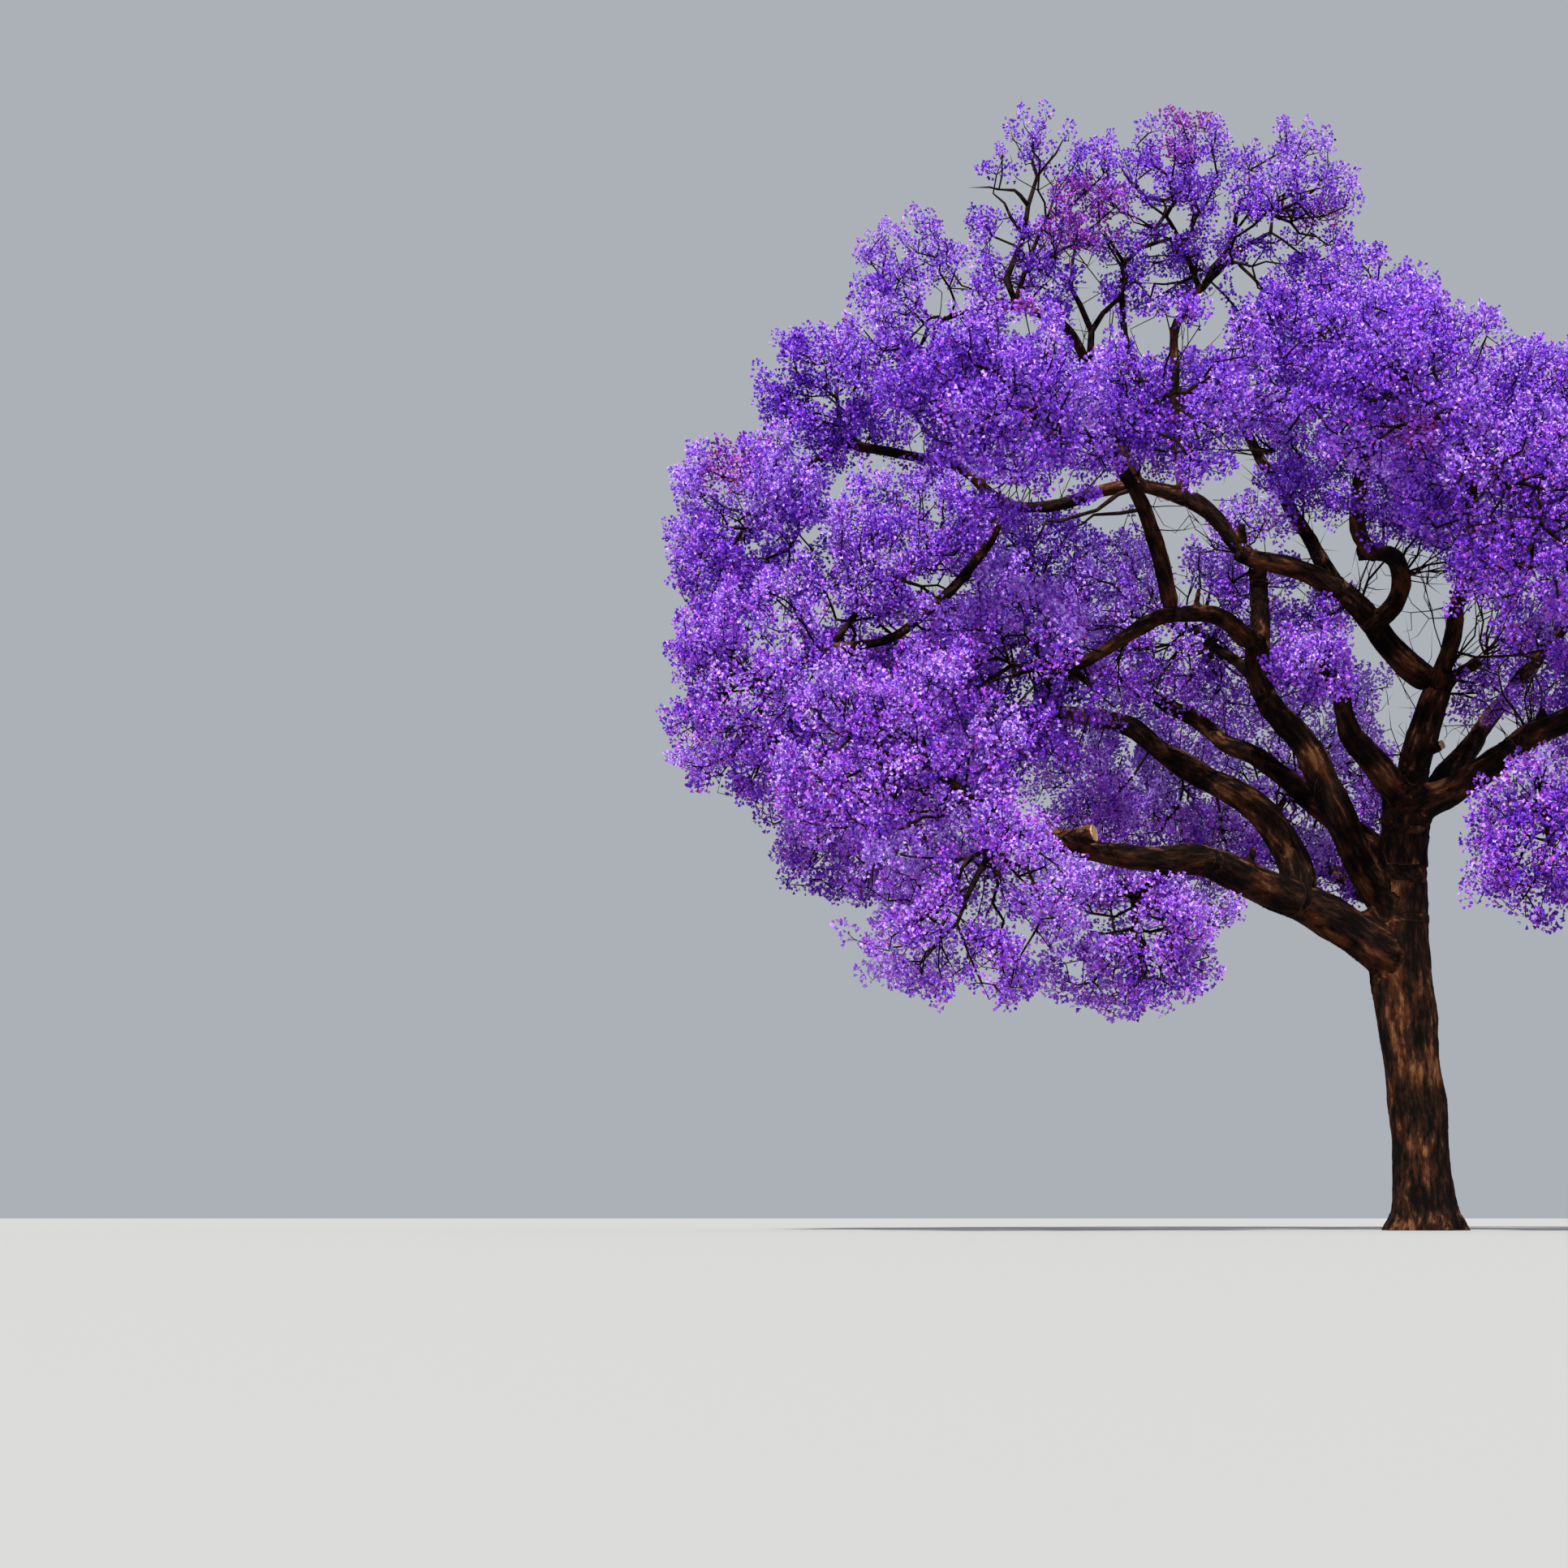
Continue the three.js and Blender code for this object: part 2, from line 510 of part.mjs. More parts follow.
function namedMesh(name, solid, origin, finish) {
  const mesh = new THREE.Mesh(toGeometry(solid, origin), new THREE.MeshStandardMaterial(finish));
  mesh.name = name;
  mesh.position.copy(origin);
  return mesh;
}

const tree = new THREE.Group();
const { limbs, taken } = growLimbs();
const wood = new THREE.Group();
for (const [name, limb] of Object.entries(limbs)) {
  const label = name === 'trunk' ? name : `bough_${name}`;
  wood.add(namedMesh(label, limb.solid, limb.curve.getPoint(0), BARK));
}
tree.add(wood);

const stems = {};
for (const name of Object.keys(MASSES)) stems[name] = stemOf(name, limbs);
const limbKnots = Object.values(limbs).flatMap((limb) => knotsOf(limb.curve, limb.radii));
const crown = new THREE.Group();
Object.keys(MASSES).forEach((name, index) => {
  const obstacles = [...limbKnots];
  for (const [other, stem] of Object.entries(stems)) {
    if (other !== name) obstacles.push(...knotsOf(stem.curve, stem.radii));
  }
  const growth = growMass(name, index + 1, stems[name], obstacles);
  const color = BLOSSOM_COLOURS[index % BLOSSOM_COLOURS.length];
  const finish = { color, roughness: BLOSSOM_ROUGHNESS, metalness: 0 };
  const solid = massSolid(stems[name], growth, taken);
  crown.add(namedMesh(`blossom_${name}`, solid, vector(MASSES[name].at), finish));
});
tree.add(crown);

export default tree;
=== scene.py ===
import math

import bpy
import numpy as np
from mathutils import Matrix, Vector, noise
from mathutils.kdtree import KDTree


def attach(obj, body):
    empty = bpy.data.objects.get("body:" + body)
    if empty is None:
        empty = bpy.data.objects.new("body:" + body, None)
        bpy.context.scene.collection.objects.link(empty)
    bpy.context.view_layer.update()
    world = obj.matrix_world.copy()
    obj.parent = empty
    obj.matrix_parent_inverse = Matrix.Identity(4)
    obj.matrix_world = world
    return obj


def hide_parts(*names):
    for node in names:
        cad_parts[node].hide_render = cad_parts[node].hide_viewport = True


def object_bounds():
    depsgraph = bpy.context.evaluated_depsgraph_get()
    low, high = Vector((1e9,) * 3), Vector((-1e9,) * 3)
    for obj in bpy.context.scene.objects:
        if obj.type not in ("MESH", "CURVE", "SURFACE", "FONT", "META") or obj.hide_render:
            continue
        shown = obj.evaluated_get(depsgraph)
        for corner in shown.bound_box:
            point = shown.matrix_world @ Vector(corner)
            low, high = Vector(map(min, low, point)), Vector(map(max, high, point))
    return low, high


# A jacaranda tree in full bloom. Metres, +Z up, the origin on the ground under the middle of the
# trunk. Trunk, boughs and masses of blossom grow by the same rule as the solids they stand for.

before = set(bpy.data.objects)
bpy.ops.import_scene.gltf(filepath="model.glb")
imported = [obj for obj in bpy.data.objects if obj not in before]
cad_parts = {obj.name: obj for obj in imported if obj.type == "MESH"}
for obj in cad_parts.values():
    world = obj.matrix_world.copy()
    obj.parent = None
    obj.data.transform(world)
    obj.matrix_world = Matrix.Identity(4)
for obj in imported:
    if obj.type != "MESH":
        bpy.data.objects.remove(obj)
scene = bpy.context.scene
cadBounds = [list(corner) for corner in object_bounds()]
bpy.ops.object.select_all(action="DESELECT")
print("frame loaded")

trunk = {
    "end": (-0.05, 0, 6), "bow": (-0.1, 0, 0), "wave": (0.05, 0, 0), "radii": (0.385, 0.315),
    "taper": 1.2,  # the taper runs out this much sooner than the height
    "flareWidth": 0.42, "flareHeight": 0.33, "rootLobes": 5, "lobeDepth": 0.16,
    "forkSwelling": 0.12, "forkFade": 12,
}

# What each bough grows from and how far along that, its end, its bow, its wave, its end radii
boughs = {
    "low_left": ("trunk", 0.6, (-5.8, -2.4, 5.15), (0.1, 0.1, 0.35),
        (-0.05, 0.2, 0.15), (0.27, 0.08)),
    "low_shoot": ("low_left", 0.52, (-4.05, -1.5, 4.3), (0, 0, 0.15), (0, 0, 0), (0.075, 0.055)),
    "rising_left": ("low_left", 0.27, (-5.75, 2, 7.3), (0.65, 0.15, 0.8),
        (0.1, -0.1, -0.05), (0.19, 0.07)),
    "mid_left": ("trunk", 0.7, (-2.1, 0, 8.1), (-0.1, 0.2, -0.05), (0.05, 0, 0), (0.21, 0.145)),
    "level_left": ("mid_left", 0.97, (-4.9, -2.1, 7.25), (0.05, -0.15, 0.55),
        (0, 0.05, 0.1), (0.115, 0.07)),
    "climbing_left": ("level_left", 0.48, (-4.35, -2.2, 10.25), (0.15, 0.05, 0.1),
        (0, 0, 0), (0.095, 0.07)),
    "inner_back": ("mid_left", 0.82, (-2.5, 1.6, 8.3), (0.15, 0.05, -0.05),
        (0, 0, 0.05), (0.105, 0.068)),
    "inner_left": ("trunk", 0.965, (-1.2, -1.4, 7.25), (-0.2, 0.25, 0.05), (0, 0, 0), (0.19, 0.09)),
    "upright": ("trunk", 0.97, (0.55, 0.5, 7.6), (-0.05, 0, 0), (0, -0.05, 0), (0.235, 0.18)),
    "great_left": ("upright", 0.95, (-2.3, 0.2, 9.35), (0.15, -0.05, 0.25),
        (-0.05, 0, -0.1), (0.165, 0.125)),
    "arched_left": ("great_left", 0.97, (-3.7, 0.4, 10.35), (0.1, -0.05, 0.2),
        (0, 0, 0), (0.115, 0.09)),
    "far_left": ("arched_left", 0.96, (-7.85, 1, 11.1), (0, 0, -0.35),
        (-0.05, 0, -0.2), (0.085, 0.065)),
    "falling_left": ("far_left", 0.45, (-8, -0.5, 7.85), (0.5, -0.15, -0.4),
        (0.05, -0.05, 0.1), (0.075, 0.065)),
    "crown_lead": ("arched_left", 0.6, (-2.65, 0.6, 13.3), (-0.35, 0.15, 0.05),
        (0.05, 0, -0.05), (0.08, 0.06)),
    "crown_left": ("arched_left", 0.95, (-5.4, 0.35, 12.95), (0.2, 0.05, 0.2),
        (-0.1, 0.1, -0.1), (0.078, 0.06)),
    "hooked": ("great_left", 0.36, (-0.4, -1.7, 11.05), (-0.05, -0.15, -0.15),
        (0.35, 0.05, 0), (0.12, 0.07)),
    "right": ("trunk", 0.955, (2.45, -1.3, 7.15), (0.05, 0, -0.05), (0.05, 0.1, 0), (0.22, 0.145)),
    "right_high": ("right", 0.95, (3.5, -0.2, 9.95), (0.3, -0.05, -0.1),
        (0, -0.05, 0), (0.12, 0.07)),
    "right_far": ("right", 0.95, (4.65, -1.9, 6.6), (0, -0.1, 0.25), (0, 0, 0.05), (0.11, 0.07)),
    "right_low": ("right", 0.5, (1.2, -2.3, 5.8), (-0.05, -0.05, 0.15),
        (0, 0, -0.05), (0.08, 0.06)),
    "back_left": ("trunk", 0.8, (-4.7, 4, 8.9), (0.25, 0.15, 0.1),
        (-0.05, -0.1, 0.05), (0.19, 0.075)),
    "back_low": ("trunk", 0.72, (-1.4, 4.8, 5.9), (0.25, 0.05, -0.1), (-0.05, 0, 0), (0.17, 0.075)),
    "back_right": ("trunk", 0.9, (3.5, 3.7, 9.4), (-0.05, 0.05, 0), (0, 0, 0), (0.18, 0.075)),
    "back_high": ("great_left", 0.55, (-1.85, 3.1, 12.05), (-0.05, -0.1, 0.05),
        (-0.05, -0.05, 0.05), (0.11, 0.07)),
    "front_lead": ("upright", 0.9, (0.15, -3.3, 9.95), (0.25, 0.1, 0.1),
        (0, 0.05, 0.05), (0.12, 0.07)),
}

# The bough that carries each mass of blossom, its middle, its half widths, its first twigs
masses = {
    "lower_left": ("low_left", (-6.25, -2.5, 4.25), (1.85, 1.95, 1.6), 8),
    "under_left": ("low_shoot", (-3.95, -1.1, 3.95), (1.65, 1.7, 1.35), 7),
    "left_front": ("low_left", (-7.1, -2.4, 6), (1.9, 1.95, 1.7), 8),
    "left_back": ("rising_left", (-7.15, 1.7, 6.05), (2.1, 2.05, 1.85), 9),
    "left_middle": ("level_left", (-5.65, -1.5, 7.25), (1.85, 1.9, 1.6), 8),
    "inner_back": ("inner_back", (-2.7, 2.6, 8.7), (2.4, 2.05, 1.85), 9),
    "band_middle": ("climbing_left", (-3.55, -3, 10.75), (1.75, 1.9, 1.3), 7),
    "band_left": ("climbing_left", (-5.65, -3.2, 10.5), (1.9, 1.95, 1.5), 8),
    "inner": ("inner_left", (-1.65, -1.9, 7.4), (0.75, 0.8, 0.6), 5),
    "far_tuft": ("far_left", (-7.85, 1, 11.8), (1.25, 1.6, 1.35), 5),
    "far_side": ("far_left", (-9.05, 0.8, 9.8), (1.7, 1.95, 1.7), 8),
    "falling_outer": ("falling_left", (-9.05, -0.6, 7.25), (1.75, 2.05, 1.8), 9),
    "falling_inner": ("falling_left", (-6.95, 0.5, 9), (1.95, 1.85, 1.75), 8),
    "top_middle": ("crown_lead", (-3.15, 0.6, 14.3), (1.6, 1.95, 1.75), 7),
    "top_right": ("crown_lead", (-1.7, 0.4, 14), (1.4, 1.8, 1.85), 7),
    "top_left": ("crown_left", (-4.9, 0.2, 14.1), (1.5, 1.8, 1.7), 7),
    "upper_left": ("crown_left", (-6.55, 0.7, 12.7), (1.55, 1.9, 1.75), 9),
    "right_shoulder": ("hooked", (-1.1, -1.1, 11.85), (1.7, 2, 1.55), 8),
    "right_upper": ("hooked", (0.7, -1.5, 10.65), (1.85, 1.95, 1.65), 8),
    "right_top": ("right_high", (2.85, 0.2, 10.85), (2.05, 2.4, 1.75), 9),
    "right_round": ("right_high", (4.45, 0, 9.6), (2.15, 2.4, 1.75), 9),
    "right_edge": ("right_far", (4.95, -1.8, 7.4), (1.95, 2.3, 1.8), 9),
    "right_skirt": ("right_far", (4.2, -2.2, 5.4), (1.8, 2, 1.55), 8),
    "right_drooping": ("right_low", (1.15, -2.8, 4.95), (1.3, 1.55, 1.25), 6),
    "back_left_side": ("back_left", (-6.2, 4.5, 8.2), (2.1, 2.2, 1.9), 9),
    "back_left_top": ("back_left", (-4.9, 4.5, 10.2), (2.15, 2.1, 1.7), 7),
    "back_low_left": ("back_low", (-3, 5, 6.4), (2.25, 2.3, 1.85), 8),
    "back_low_right": ("back_low", (-0.3, 5.35, 7.15), (2.2, 2.3, 1.9), 8),
    "back_right_top": ("back_right", (2.5, 3.9, 11), (2.4, 2.45, 1.85), 9),
    "back_right_side": ("back_right", (3.95, 3.7, 8.35), (2.4, 2.4, 2.05), 9),
    "back_crest": ("back_high", (0.1, 3.3, 12.45), (2.4, 2.2, 1.95), 9),
    "back_band": ("back_high", (-3.7, 3.6, 12.6), (2.35, 2.05, 1.6), 8),
    "front_crest": ("front_lead", (-0.8, -3.9, 10.7), (1.6, 1.8, 1.3), 7),
    "front_side": ("front_lead", (0.85, -3.9, 8.9), (1.85, 2, 1.7), 9),
}

# Limbs: the same middle lines as the solids'

def limbOf(start, end, bow, wave, radii):
    limb = {"start": start, "end": end, "bow": bow, "wave": wave}
    limb = {key: np.array(value, float) for key, value in limb.items()}
    limb["radii"] = radii
    return limb


def pointOn(limb, t):
    t = np.asarray(t, float)[..., None]
    straight = limb["start"] + (limb["end"] - limb["start"]) * t
    return straight + limb["bow"] * np.sin(np.pi * t) + limb["wave"] * np.sin(2 * np.pi * t)


def lengthOf(limb):
    places = pointOn(limb, np.linspace(0, 1, 40))
    return float(np.linalg.norm(np.diff(places, axis=0), axis=1).sum())


def mix(a, b, t):
    return a + (b - a) * t


def unit(vector):
    return vector / max(np.linalg.norm(vector), 1e-9)


limbs = {"trunk": limbOf((0, 0, 0), trunk["end"], trunk["bow"], trunk["wave"], trunk["radii"])}
for name, (parent, at, end, bow, wave, radii) in boughs.items():
    limbs[name] = limbOf(pointOn(limbs[parent], at), end, bow, wave, radii)

# The rule by which a mass grows: twigs spread evenly over a sphere, each from the nearest
# branching, with a spray at its end and two beside it, all inside the mass's own space

rule = {
    "spaceGap": 0.012, "neighbourhood": 2, "reachShare": 0.985,
    "stemWidth": 0.5, "stemSpread": 0.56, "stemEnd": 0.026, "crowdedStem": 0.6, "stemRise": 0.08,
    "stemNodes": 16, "twigRadius": 0.018, "twigThinning": 0.8,
    "sprayLength": 0.8, "sprayWidth": 0.4, "sprayWidths": (1, 0.75, 0.5), "sprayShareMost": 0.75,
    "sideSprays": (0.35, 0.7), "sideScale": 0.85, "sideLean": 0.55, "sideLift": 0.2,
    "sideSink": 0.008, "turnJitter": 0.6, "clearance": 0.015, "limbSamples": 14,
    "spraySamples": 6, "sprayRoom": 0.7,
}
goldenAngle = math.pi * (3 - math.sqrt(5))
farOff = 1e3  # a place out of the way of everything


def seeded(seed):
    state = seed * 7919 + 12345
    while True:
        state = state * 48271 % 2147483647
        yield state / 2147483647


def spreadDirection(i, count, angle):
    # one of so many directions spread evenly over a sphere from its top down
    height = 1 - 2 * (i + 0.5) / count
    flat = math.sqrt(1 - height * height)
    return np.array((flat * math.cos(angle), flat * math.sin(angle), height))


def skinDistance(radii, direction):
    return 1 / np.linalg.norm(direction / radii, axis=-1)


def spaceOf(name):
    middle, radii = (np.array(row, float) for row in masses[name][1:3])
    planes = []
    for other, row in masses.items():
        if other == name:
            continue
        normal = np.array(row[1], float) - middle
        distance = np.linalg.norm(normal)
        normal /= distance
        own = skinDistance(radii, normal)
        theirs = skinDistance(np.array(row[2], float), normal)
        share = distance * own / (own + theirs) - rule["spaceGap"]
        if share < rule["neighbourhood"] * own:
            planes.append((normal, share))
    normals = np.array([normal for normal, share in planes])
    shares = np.array([share for normal, share in planes])
    return {"middle": middle, "radii": radii, "normals": normals, "shares": shares}


def isInside(space, point, margin):
    offset = point - space["middle"]
    if np.linalg.norm(offset / space["radii"]) > 1:
        return False
    return bool(np.all(space["normals"] @ offset < space["shares"] - margin))


def reachOf(space, direction):
    slopes = space["normals"] @ direction
    ahead = slopes > 1e-9
    limits = space["shares"][ahead] / slopes[ahead]
    return min([skinDistance(space["radii"], direction), *limits])


def isClear(start, end, width, points, radii):
    t = np.linspace(0, 1, rule["spraySamples"] + 1)
    bulge = width * (1 - np.abs(2 * t - 1))
    places = start + (end - start) * t[:, None]
    distances = np.linalg.norm(places[:, None] - points[None], axis=2)
    return bool(np.all(distances >= radii[None] + bulge[:, None] + rule["clearance"]))


def knotsOf(limb):
    t = np.linspace(0, 1, rule["limbSamples"] + 1)
    return pointOn(limb, t), mix(limb["radii"][0], limb["radii"][1], t)


def stemOf(name):
    bough = limbs[masses[name][0]]
    tip, before = pointOn(bough, 1), pointOn(bough, 0.9999)
    tangent = unit(tip - before)
    middle = np.array(masses[name][1], float)
    sharing = [np.array(row[1], float) for row in masses.values() if row[0] == masses[name][0]]
    aside = middle - np.mean(sharing, axis=0)
    aside = unit(aside - tangent * (aside @ tangent))
    start = tip + aside * rule["stemSpread"] * bough["radii"][1] - tangent * bough["radii"][1]
    rise = (0, 0, rule["stemRise"] * np.linalg.norm(middle - start))
    share = rule["crowdedStem"] if len(sharing) > 2 else 1
    radii = (share * rule["stemWidth"] * bough["radii"][1], share * rule["stemEnd"])
    return limbOf(start, middle, rise, (0, 0, 0), radii)


def growSprays(name, seed, obstacles):
    count, stem = masses[name][3], stems[name]
    draw = seeded(seed)
    space = spaceOf(name)
    size = float(np.mean(space["radii"]))
    turn = next(draw) * 2 * math.pi
    free = []
    for i in range(1, rule["stemNodes"] + 1):
        point = pointOn(stem, i / rule["stemNodes"])
        if isInside(space, point, rule["twigRadius"]):
            free.append((point, rule["twigRadius"]))
    sprays, bloom = [], ([np.full(3, farOff)], [0.0])

    def fitted(spray):
        middle = (spray["root"] + spray["tip"]) / 2
        if not isInside(space, spray["tip"], 0):
            return None
        taken = np.array(bloom[0]), np.array(bloom[1])
        for share in rule["sprayWidths"]:
            width = spray["width"] * share
            if not isInside(space, middle, width):
                continue
            if not isClear(spray["root"], spray["tip"], width, *obstacles):
                continue
            if isClear(spray["root"], spray["tip"], rule["sprayRoom"] * width, *taken):
                return {**spray, "width": width}
        return None

    def takeRoom(spray):
        for t in np.arange(1, rule["spraySamples"]) / rule["spraySamples"]:
            bloom[0].append(mix(spray["root"], spray["tip"], t))
            bloom[1].append(rule["sprayRoom"] * spray["width"] * (1 - abs(2 * t - 1)))

    for i in range(count):
        angle = i * goldenAngle + turn + (next(draw) - 0.5) * rule["turnJitter"]
        roll = next(draw) * math.pi
        direction = spreadDirection(i, count, angle)
        reach = reachOf(space, direction) * rule["reachShare"]
        length = min(rule["sprayLength"] * size, rule["sprayShareMost"] * reach)
        tip = space["middle"] + direction * reach
        neck = space["middle"] + direction * (reach - length)
        nearest = min(range(len(free)), key=lambda j: np.linalg.norm(free[j][0] - neck))
        node, radius = free.pop(nearest)
        root = mix(tip, node, length / np.linalg.norm(tip - node))
        spray = fitted({"root": root, "tip": tip, "width": rule["sprayWidth"] * size, "from": node})
        if not spray:
            continue
        if not isClear(node, root, radius, *obstacles):
            continue
        if not isClear(node, root, radius, np.array(bloom[0]), np.array(bloom[1])):
            continue
        takeRoom(spray)
        sprays.append(spray)
        along = unit(tip - node)
        across = np.array((-along[1], along[0], rule["sideLift"]))
        across = unit(across - along * (across @ along))
        for side, at in enumerate(rule["sideSprays"]):
            fork = mix(node, root, at)
            free.append((fork, radius * rule["twigThinning"]))
            turned = roll + side * math.pi
            aside = across * math.cos(turned) + np.cross(along, across) * math.sin(turned)
            axis = unit(along * rule["sideLean"] + aside)
            beside = {
                "root": fork - axis * rule["sideSink"], "from": fork,
                "tip": fork + axis * rule["sideScale"] * rule["sprayLength"] * size,
                "width": rule["sideScale"] * rule["sprayWidth"] * size,
            }
            beside = fitted(beside)
            if beside:
                takeRoom(beside)
                sprays.append(beside)
    return space, sprays


stems = {name: stemOf(name) for name in masses}
limbKnots = [knotsOf(limb) for limb in limbs.values()]
grown = {}
for index, name in enumerate(masses):
    knots = limbKnots + [knotsOf(stem) for other, stem in stems.items() if other != name]
    obstacles = tuple(np.concatenate(part) for part in zip(*knots))
    grown[name] = growSprays(name, index + 1, obstacles)
print("sprays of the rule:", sum(len(sprays) for space, sprays in grown.values()))

# Trunk and boughs, with the bark's relief. Jacaranda bark is thin, grey-brown and finely
# furrowed along the limb, so furrows follow each limb's own middle line.

wood = {
    "knotStep": 0.25, "sway": 0.42, "swayMost": 0.08, "swayLength": 0.75, "swaySeed": 3.7,
    "noiseSeed": 5,
    "kinkedSway": 0.4,  # of the sway, for limbs that follow the photo
    "collar": 0.3, "collarFade": 12,
    "rootShare": 0.7, "rootSlope": 0.6,  # limbs start narrower inside their parent and widen soon
    "knobs": 0.16, "knobGap": 0.4,  # swellings along a bough, a share of its radius
    "swayPlane": 0.5, "knobPlane": 4.5,  # where sway and knobs are read in the noise
    "belowGround": 0.4, "voxelTrunk": 0.0285, "voxelBoughs": 0.025, "smoothing": 4,
    "furrowGap": 0.1, "furrowLength": 0.4, "furrowDepth": 0.014, "furrowEdge": 3,
    "fullFurrow": 0.2,  # the radius from which furrows have their full depth
    "lumpSize": 0.36, "lumpDepth": 0.08, "lumpStretch": 1.5,  # depth as a share of the radius
    "aside": (0.31, 0.95, 0.05),  # a way that no limb takes
}

# noise vectors differ from run to run without a seed
noise.seed_set(wood["noiseSeed"])

# The viewer's place and where its sight leads, read from the photo of 1932 by 1932 pixels
viewer = np.array((-8.6, -42, 0.2))
sight = {"pitch": math.radians(7.93), "focal": 3818, "middle": 966}
ahead = np.array((0, math.cos(sight["pitch"]), math.sin(sight["pitch"])))
upward = np.array((0, -math.sin(sight["pitch"]), math.cos(sight["pitch"])))


def fromPhoto(across, down, depth):
    # the place seen at so many pixels across and down, so far behind the trunk
    x = (across - sight["middle"]) / sight["focal"]
    z = (sight["middle"] - down) / sight["focal"]
    ray = ahead + upward * z + np.array((x, 0, 0))
    return viewer + ray * (depth - viewer[1]) / ray[1]


def toPhoto(place):
    way = place - viewer
    scale = sight["focal"] / (way @ ahead)
    return sight["middle"] + way[0] * scale, sight["middle"] - (way @ upward) * scale


# Kinks: pixels across and down where each limb's middle line bends in the photo, and its depth
kinks = {
    "low_left": ((1690, 1163, -0.05), (1647, 1131, -0.2), (1599, 1110, -0.4), (1557, 1094, -0.7),
        (1487, 1058, -1.2), (1417, 1060, -1.7), (1325, 1045, -2.1)),
    "rising_left": ((1598, 1067, -0.2), (1573, 1019, 0.1), (1541, 988, 0.3), (1503, 965, 0.6),
        (1468, 949, 0.8), (1439, 933, 1), (1395, 893, 1.3), (1290, 875, 1.8)),
    "mid_left": ((1690, 1095, 0.1), (1664, 1032, 0.2), (1641, 980, 0.2), (1618, 931, 0.2),
        (1590, 897, 0.2), (1560, 865, 0.1), (1549, 828, 0.1)),
    "level_left": ((1506, 757, -0.4), (1468, 756, -0.9), (1430, 758, -1.3), (1396, 779, -1.6),
        (1367, 799, -1.8)),
    "climbing_left": ((1436, 704, -1.4), (1425, 667, -1.5), (1413, 632, -1.7), (1396, 600, -1.9)),
    "inner_left": ((1682, 928, -0.3), (1659, 897, -0.6), (1652, 860, -1)),
    "upright": ((1748, 923, 0.2), (1762, 879, 0.4)),
    "great_left": ((1739, 826, 0.45), (1705, 785, 0.4), (1676, 750, 0.3), (1636, 715, 0.3),
        (1590, 695, 0.2), (1552, 695, 0.2)),
    "arched_left": ((1506, 644, 0.2), (1483, 623, 0.2), (1454, 609, 0.3)),
    "far_left": ((1359, 603, 0.5), (1310, 623, 0.5), (1250, 626, 0.6), (1217, 606, 0.7),
        (1183, 574, 0.8), (1100, 558, 0.9)),
    "falling_left": ((1229, 653, 0.3), (1176, 725, 0), (1097, 791, -0.3)),
    "crown_lead": ((1446, 530, 0.45), (1448, 450, 0.6), (1446, 400, 0.6)),
    "crown_left": ((1372, 530, 0.5), (1343, 460, 0.4), (1318, 400, 0.3)),
    "hooked": ((1725, 745, 0.1), (1731, 706, -0.2), (1716, 678, -0.5), (1690, 684, -0.8),
        (1670, 655, -1.1), (1674, 605, -1.3), (1690, 540, -1.5)),
    "right": ((1797, 973, -0.2), (1840, 943, -0.5), (1884, 911, -0.8), (1932, 888, -1.1)),
    "right_low": ((1880, 925, -1.6),),
}

# Limbs that are thicker in the photo than their even taper makes them
girths = {
    "low_left": 1.22, "rising_left": 1.3, "mid_left": 1.12, "level_left": 1.15,
    "climbing_left": 1.3, "inner_left": 1.15, "great_left": 1.1, "arched_left": 1.12,
    "hooked": 1.15,
}


def between(rows, stations, at):
    return np.stack([np.interp(at, stations, column) for column in rows.T], axis=-1)


def placeOn(name, at):
    points, radii = paths[name]
    stations = np.linspace(0, 1, len(points))
    return between(points, stations, at), np.interp(at, stations, radii)


def kinked(limb, places, t):
    track = np.array([limb["start"], *[fromPhoto(*place) for place in places], limb["end"]])
    runs = np.append(0, np.cumsum(np.linalg.norm(np.diff(track, axis=0), axis=1)))
    points = between(track, runs / runs[-1], t)
    points[1:-1] = (points[:-2] + points[1:-1] * 2 + points[2:]) / 4
    return points


def swayed(name):
    limb = limbs[name]
    steps = max(4, math.ceil(lengthOf(limb) / wood["knotStep"]))
    t = np.linspace(0, 1, steps + 1)
    points = kinked(limb, kinks[name], t) if name in kinks else pointOn(limb, t)
    radii = mix(limb["radii"][0], limb["radii"][1], t)
    amount = min(wood["sway"] * radii.mean(), wood["swayMost"])
    if name in kinks or name == "trunk":
        amount *= wood["kinkedSway"]
    place = np.arange(len(t)) * wood["knotStep"] / wood["swayLength"]
    seed = len(name) * wood["swaySeed"] + limb["end"][0]
    swing = np.array([noise.noise_vector(Vector((p, seed, wood["swayPlane"]))) for p in place])
    points = points + swing * amount * 2 * np.sin(np.pi * t)[:, None]
    if name in boughs:
        start, around = placeOn(*boughs[name][:2])
        points = points + (start - limb["start"]) * (1 - t)[:, None] ** 3
        radii = radii * (1 + wood["collar"] * (1 - t) ** wood["collarFade"])
        knobs = np.arange(len(t)) * wood["knotStep"] / wood["knobGap"]
        knobs = np.array([noise.noise(Vector((p, seed, wood["knobPlane"]))) for p in knobs])
        middle = np.sin(np.pi * t) ** 0.5
        radii = radii * (1 + wood["knobs"] * knobs * middle)
        radii = radii * (1 + (girths.get(name, 1) - 1) * middle)
        hidden = around * wood["rootShare"]
        radii = np.minimum(radii, hidden + t * lengthOf(limb) * wood["rootSlope"])
    else:
        radii = mix(limb["radii"][0], limb["radii"][1], np.minimum(t * trunk["taper"], 1))
        flare = np.exp(-points[:, 2] / trunk["flareHeight"])
        radii = radii * (1 + trunk["flareWidth"] * flare)
        radii = radii * (1 + trunk["forkSwelling"] * t ** trunk["forkFade"])
    return points, radii


